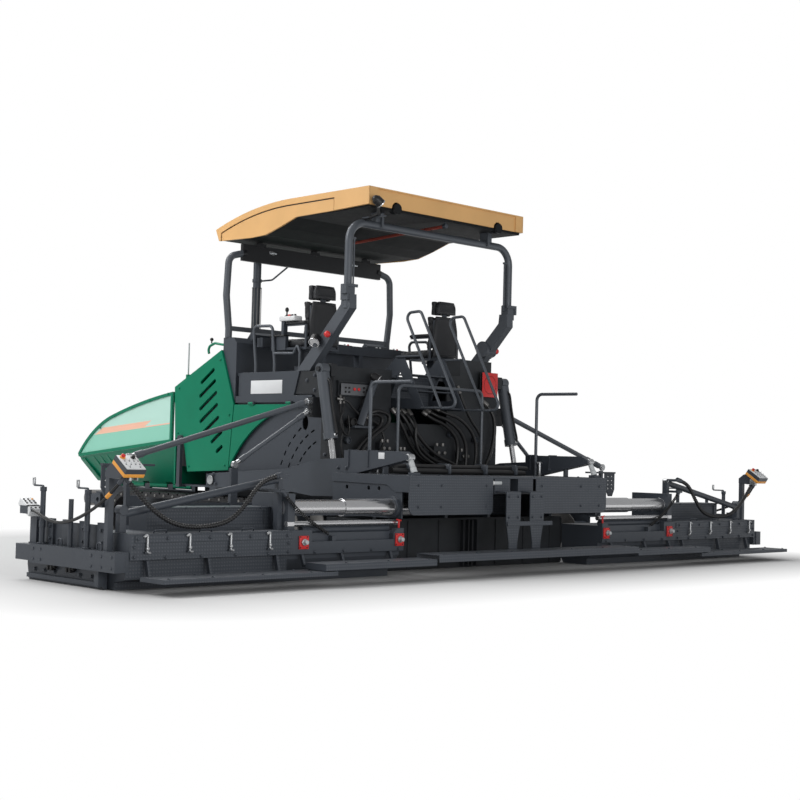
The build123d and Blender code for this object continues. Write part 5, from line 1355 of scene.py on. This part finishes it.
def cab_fittings():
    """Mirror knob, aerial, blank plates, seat consoles, desk controls and the roof's spring."""
    x, y = -1.2, 0.36
    hang("mirror_knob", "tractor", None, upright(black_plastic, x, y, 2.29, 2.325, 0.008, 12),
         colour(ball((x, y, 2.333), 0.02), black_plastic))
    y = 0.77
    hang("aerial", "tractor", None, upright(green, x, y, 1.875, 1.955, 0.026, 20, 0.004),
         upright(plate_grey, x, y, 1.95, 2.31, 0.009, 12, 0.002))
    for side, name in SIDES:
        x = side * 1.2487
        hang("blank_plate_" + name, "tractor", None,
             slab(white, (x - 0.0013, -0.915, 1.722), (x + 0.0013, -0.405, 1.862), 0.0008))
        seat_console(side, name)
    low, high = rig.box("console_desk")
    top = high.z + 0.004
    desk = []
    for x in (-0.78, 0.0, 0.78):
        desk += [slab(black_plastic, (x - 0.2, low.y + 0.012, high.z - 0.002),
                      (x + 0.2, high.y - 0.01, high.z + 0.005)),
                 slab(screen, (x - 0.07, low.y + 0.02, top),
                      (x + 0.07, high.y - 0.02, high.z + 0.008), 0.002)]
        for k in (-3, -2, 2, 3):
            finish = red if k == 3 else plate_grey
            desk.append(upright(finish, x + 0.055 * k, low.y + 0.045, top, high.z + 0.02, 0.011, 12, 0.002))
    hang("desk_controls", "tractor", None, *desk)
    coil = route([(-0.086, -0.68, 3.442), (-0.06, -1.1, 3.47), (-0.03, -1.55, 3.495), (0.006, -1.99, 3.52)])
    spring, _ = coiled_tube("roof_spring", coil, 0.018, 0.006, 0.02)
    colour(spring, paint("spring_red", (0.25, 0.035, 0.02), 0.5))
    hang("roof_spring", "tractor", None, spring,
         bar(graphite, (0.006, -1.97, 3.52), (0.007, -2.01, 3.522), 0.026, 18, 0.003),
         bar(graphite, (-0.088, -0.66, 3.441), (-0.086, -0.69, 3.443), 0.024, 18, 0.003),
         upright(graphite, 0.006, -1.99, 3.52, 3.562, 0.01, 12),
         upright(graphite, -0.087, -0.67, 3.442, 3.47, 0.01, 12))


def louvre_backs():
    """Painted shade: a dark sheet behind the louvred side panels; ribs of the hood's vents, in the green's painted
    shade, and the hood's grips.
    """
    # painted shade: a dark sheet where only shade shows through the louvres
    for side, name in SIDES:
        x = side * 1.212
        hang("louvre_shade_sheet_" + name, "tractor", None,
             slab(near_black, (x - 0.002, 0.16, 0.93), (x + 0.002, 0.9, 1.8), 0.0))
    # the hood falls from this height and place at its rear to its front edge
    rear_y, rear_z, front_y, front_z = 0.117, 2.206, 0.947, 1.816
    slope = (rear_z - front_z) / (front_y - rear_y)
    ribs = []
    for x in (-0.76, 0.7):
        for y in (0.42, 0.56, 0.70):
            z = rear_z - slope * (y - rear_y) + 0.022
            for k in range(5):
                # the vent ribs take the painted shade of the green
                ribs.append(slab(shaded_green, (x - 0.14 + 0.058 * k, y - 0.02, z - 0.001),
                                 (x - 0.1 + 0.058 * k, y + 0.02, z + 0.006), 0.002))
    hang("hood_louvres", "tractor", "green_paint", *ribs)
    bend = ((0.5, 2.025), (0.5, 2.07), (0.51, 2.08), (0.63, 2.025), (0.64, 2.01), (0.64, 1.96))
    grips = [colour(hose(on_flank(side * 0.25, 0, bend), 0.011, 8), black_plastic) for side, _ in SIDES]
    hang("hood_grips", "tractor", None, *grips)


def exhaust_parts():
    """Cage of thin bars between two collars round the exhaust stack."""
    x, y, ring_radius = -0.62, 0.317, 0.052
    parts = [upright(graphite, x, y, low, high, 0.056, 28, 0.002)
             for low, high in ((2.35, 2.36), (2.95, 2.96))]
    for a in (2 * math.pi * k / 9 for k in range(9)):
        parts.append(upright(worn_steel, x + ring_radius * math.cos(a), y + ring_radius * math.sin(a),
                             2.35, 2.96, 0.0035, 8))
    hang("exhaust_guard", "tractor", None, *parts)


def lift_hoses():
    """A hose down each lift cylinder's barrel, with its fitting."""
    for side, name in SIDES:
        x = side * 1.355
        run = on_flank(x, 0, ((-1.72, 1.86), (-1.755, 1.84), (-1.775, 1.80), (-1.80, 1.64),
                              (-1.86, 1.42), (-1.885, 1.34), (-1.885, 1.31), (-1.868, 1.30)))
        hang("lift_hose_" + name, "lift_barrel_" + name, "black_rubber", colour(hose(run, 0.012, 8), rubber),
             bar(steel, (x, -1.845, 1.30), (x, -1.878, 1.297), 0.019, 14, 0.002))


def track_parts():
    """Link pins round both tracks."""
    low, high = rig.box("tracks")
    radius = (high.z - low.z) / 2
    y0, y1 = low.y + radius, high.y - radius
    run, arc = y1 - y0, math.pi * radius
    count = 45
    loop = []                       # a pin's place on the loop, and the way out of it there
    for i in range(count):
        s = i * 2 * (run + arc) / count
        if s < run:
            loop.append((y0 + s, 0.0, 0, -1))
        elif run + arc <= s < 2 * run + arc:
            loop.append((y1 - (s - run - arc), 2 * radius, 0, 1))
        else:
            front = s < run + arc
            a = (s - run) / radius if front else math.pi + (s - 2 * run - arc) / radius
            sine, cosine = math.sin(a), math.cos(a)
            loop.append(((y1 if front else y0) + radius * sine, radius - radius * cosine, sine, -cosine))
    for side, name in SIDES:
        places = [facing((side * x, y - way_y * 0.036, z - way_z * 0.036), (side if x > 1 else -side, 0, 0))
                  for y, z, way_y, way_z in loop for x in (1.2305, 0.9295)]
        pins = copies(upright(worn_steel, 0, 0, -0.002, 0.008, 0.016, 10, 0.002), places)
        hang("track_pins_" + name, "tractor", "track_steel", *pins)


def hopper_front():
    """Bolts on the push beam, and the apron's strip with its bolts."""
    front = (0, 1, 0)
    spots = [(x, 3.07, z) for x in (-0.82, -0.05, 0.05, 0.82) for z in (0.41, 0.53)]
    bolts("push_bolts", "tractor", graphite, 0.028, (front, spots))
    low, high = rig.box("hopper_apron")
    hang("apron_strip", "hopper_apron", None,
         slab(worn_steel, (low.x + 0.01, high.y, high.z - 0.08),
              (high.x - 0.01, high.y + 0.006, high.z - 0.04), 0.002))
    spots = [(x, high.y + 0.006, high.z - 0.06) for x in (-0.64, -0.32, 0.0, 0.32, 0.64)]
    bolts("apron_bolts", "hopper_apron", graphite, 0.022, (front, spots))


# ------------------------------------------------------------- studio
def lamp(name, place, aim, size, power):
    """A rectangular area light that looks at a point."""
    light = bpy.data.lights.new(name, "AREA")
    light.shape = "RECTANGLE"
    light.size, light.size_y = size
    light.energy = power
    body = bpy.data.objects.new(name, light)
    body.location = place
    body.rotation_euler = (Vector(aim) - Vector(place)).to_track_quat("-Z", "Y").to_euler()
    link(body)


def mixed(tree, fac, first, second, output):
    """Two shaders mixed by fac into an output node."""
    mix = add(tree, "ShaderNodeMixShader")
    tree.links.new(fac, mix.inputs["Fac"])
    tree.links.new(first.outputs[0], mix.inputs[1])
    tree.links.new(second.outputs[0], mix.inputs[2])
    tree.links.new(mix.outputs[0], tree.nodes[output].inputs["Surface"])


def world():
    """Soft white light all round, behind which the camera sees plain white."""
    sky = bpy.data.worlds.new("studio")
    bpy.context.scene.world = sky
    sky.use_nodes = True
    tree = sky.node_tree
    light = tree.nodes["Background"]
    light.inputs["Color"].default_value = (0.98, 0.99, 1.0, 1.0)
    light.inputs["Strength"].default_value = 0.42
    seen = add(tree, "ShaderNodeBackground", Strength=1.0)
    seen.inputs["Color"].default_value = WHITE
    ray = add(tree, "ShaderNodeLightPath")
    mixed(tree, ray.outputs["Is Camera Ray"], light, seen, "World Output")


def floor():
    """Pale floor that keeps the machine's shadow and fades into the white behind it."""
    let_go()
    bpy.ops.mesh.primitive_circle_add(vertices=96, radius=60, fill_type="NGON", location=(0, 0, -0.002))
    sheet = settle()
    sheet.name = "studio_floor"
    mat, tree, bsdf = new_material("studio_floor")
    bsdf.inputs["Base Color"].default_value = (0.56, 0.56, 0.56, 1.0)
    bsdf.inputs["Roughness"].default_value = 0.9
    bsdf.inputs["Specular IOR Level"].default_value = 0.1
    at_x, at_y, _ = place_on(tree)
    # how far a point lies past the machine's own field, across and along
    past = [larger(tree, minus(tree, size_of(tree, at), edge), 0.0)
            for at, edge in ((at_x, 4.4), (at_y, 3.3))]
    past = calc(tree, "SQRT", plus(tree, *[times(tree, p, p) for p in past]))
    away = spread(tree, past, 0.0, 1.0, 0.1, 1.7)
    ray = add(tree, "ShaderNodeLightPath")
    seen = larger(tree, ray.outputs["Is Camera Ray"], ray.outputs["Is Glossy Ray"])
    seen = larger(tree, seen, ray.outputs["Is Transmission Ray"])
    glow = add(tree, "ShaderNodeEmission", Strength=1.0)
    glow.inputs["Color"].default_value = WHITE
    mixed(tree, times(tree, away, seen), bsdf, glow, "Material Output")
    sheet.data.materials.append(mat)
    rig.stage(sheet)


def studio():
    bpy.context.scene.view_settings.view_transform = "Standard"
    world()
    floor()
    lamp("key", (-11, 3, 9), (0, -1, 1), (6, 6), 900)
    lamp("top", (-1, 6, 11), (0, -0.5, 0), (7, 7), 900)
    lamp("fill", (-4, -14, 2.2), (0, -1, 1.6), (10, 3), 480)


camera()
cords()
dress_nodes()
seats()
for side, name in SIDES:
    for fit in (control_box, level_box, sockets, latches, screed_bolts, crank_grips):
        fit(side, name)
for fit in (walk_boards, deck_fittings, arm_and_mount_bolts, wing_fittings, wall_hoses, wall_panels, lamps,
            cab_fittings, louvre_backs, exhaust_parts, lift_hoses, track_parts, hopper_front, studio):
    fit()

with open("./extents.json", "w") as note:
    json.dump({"cad": cad_box, "visual": [list(corner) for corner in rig.bounds()]}, note)
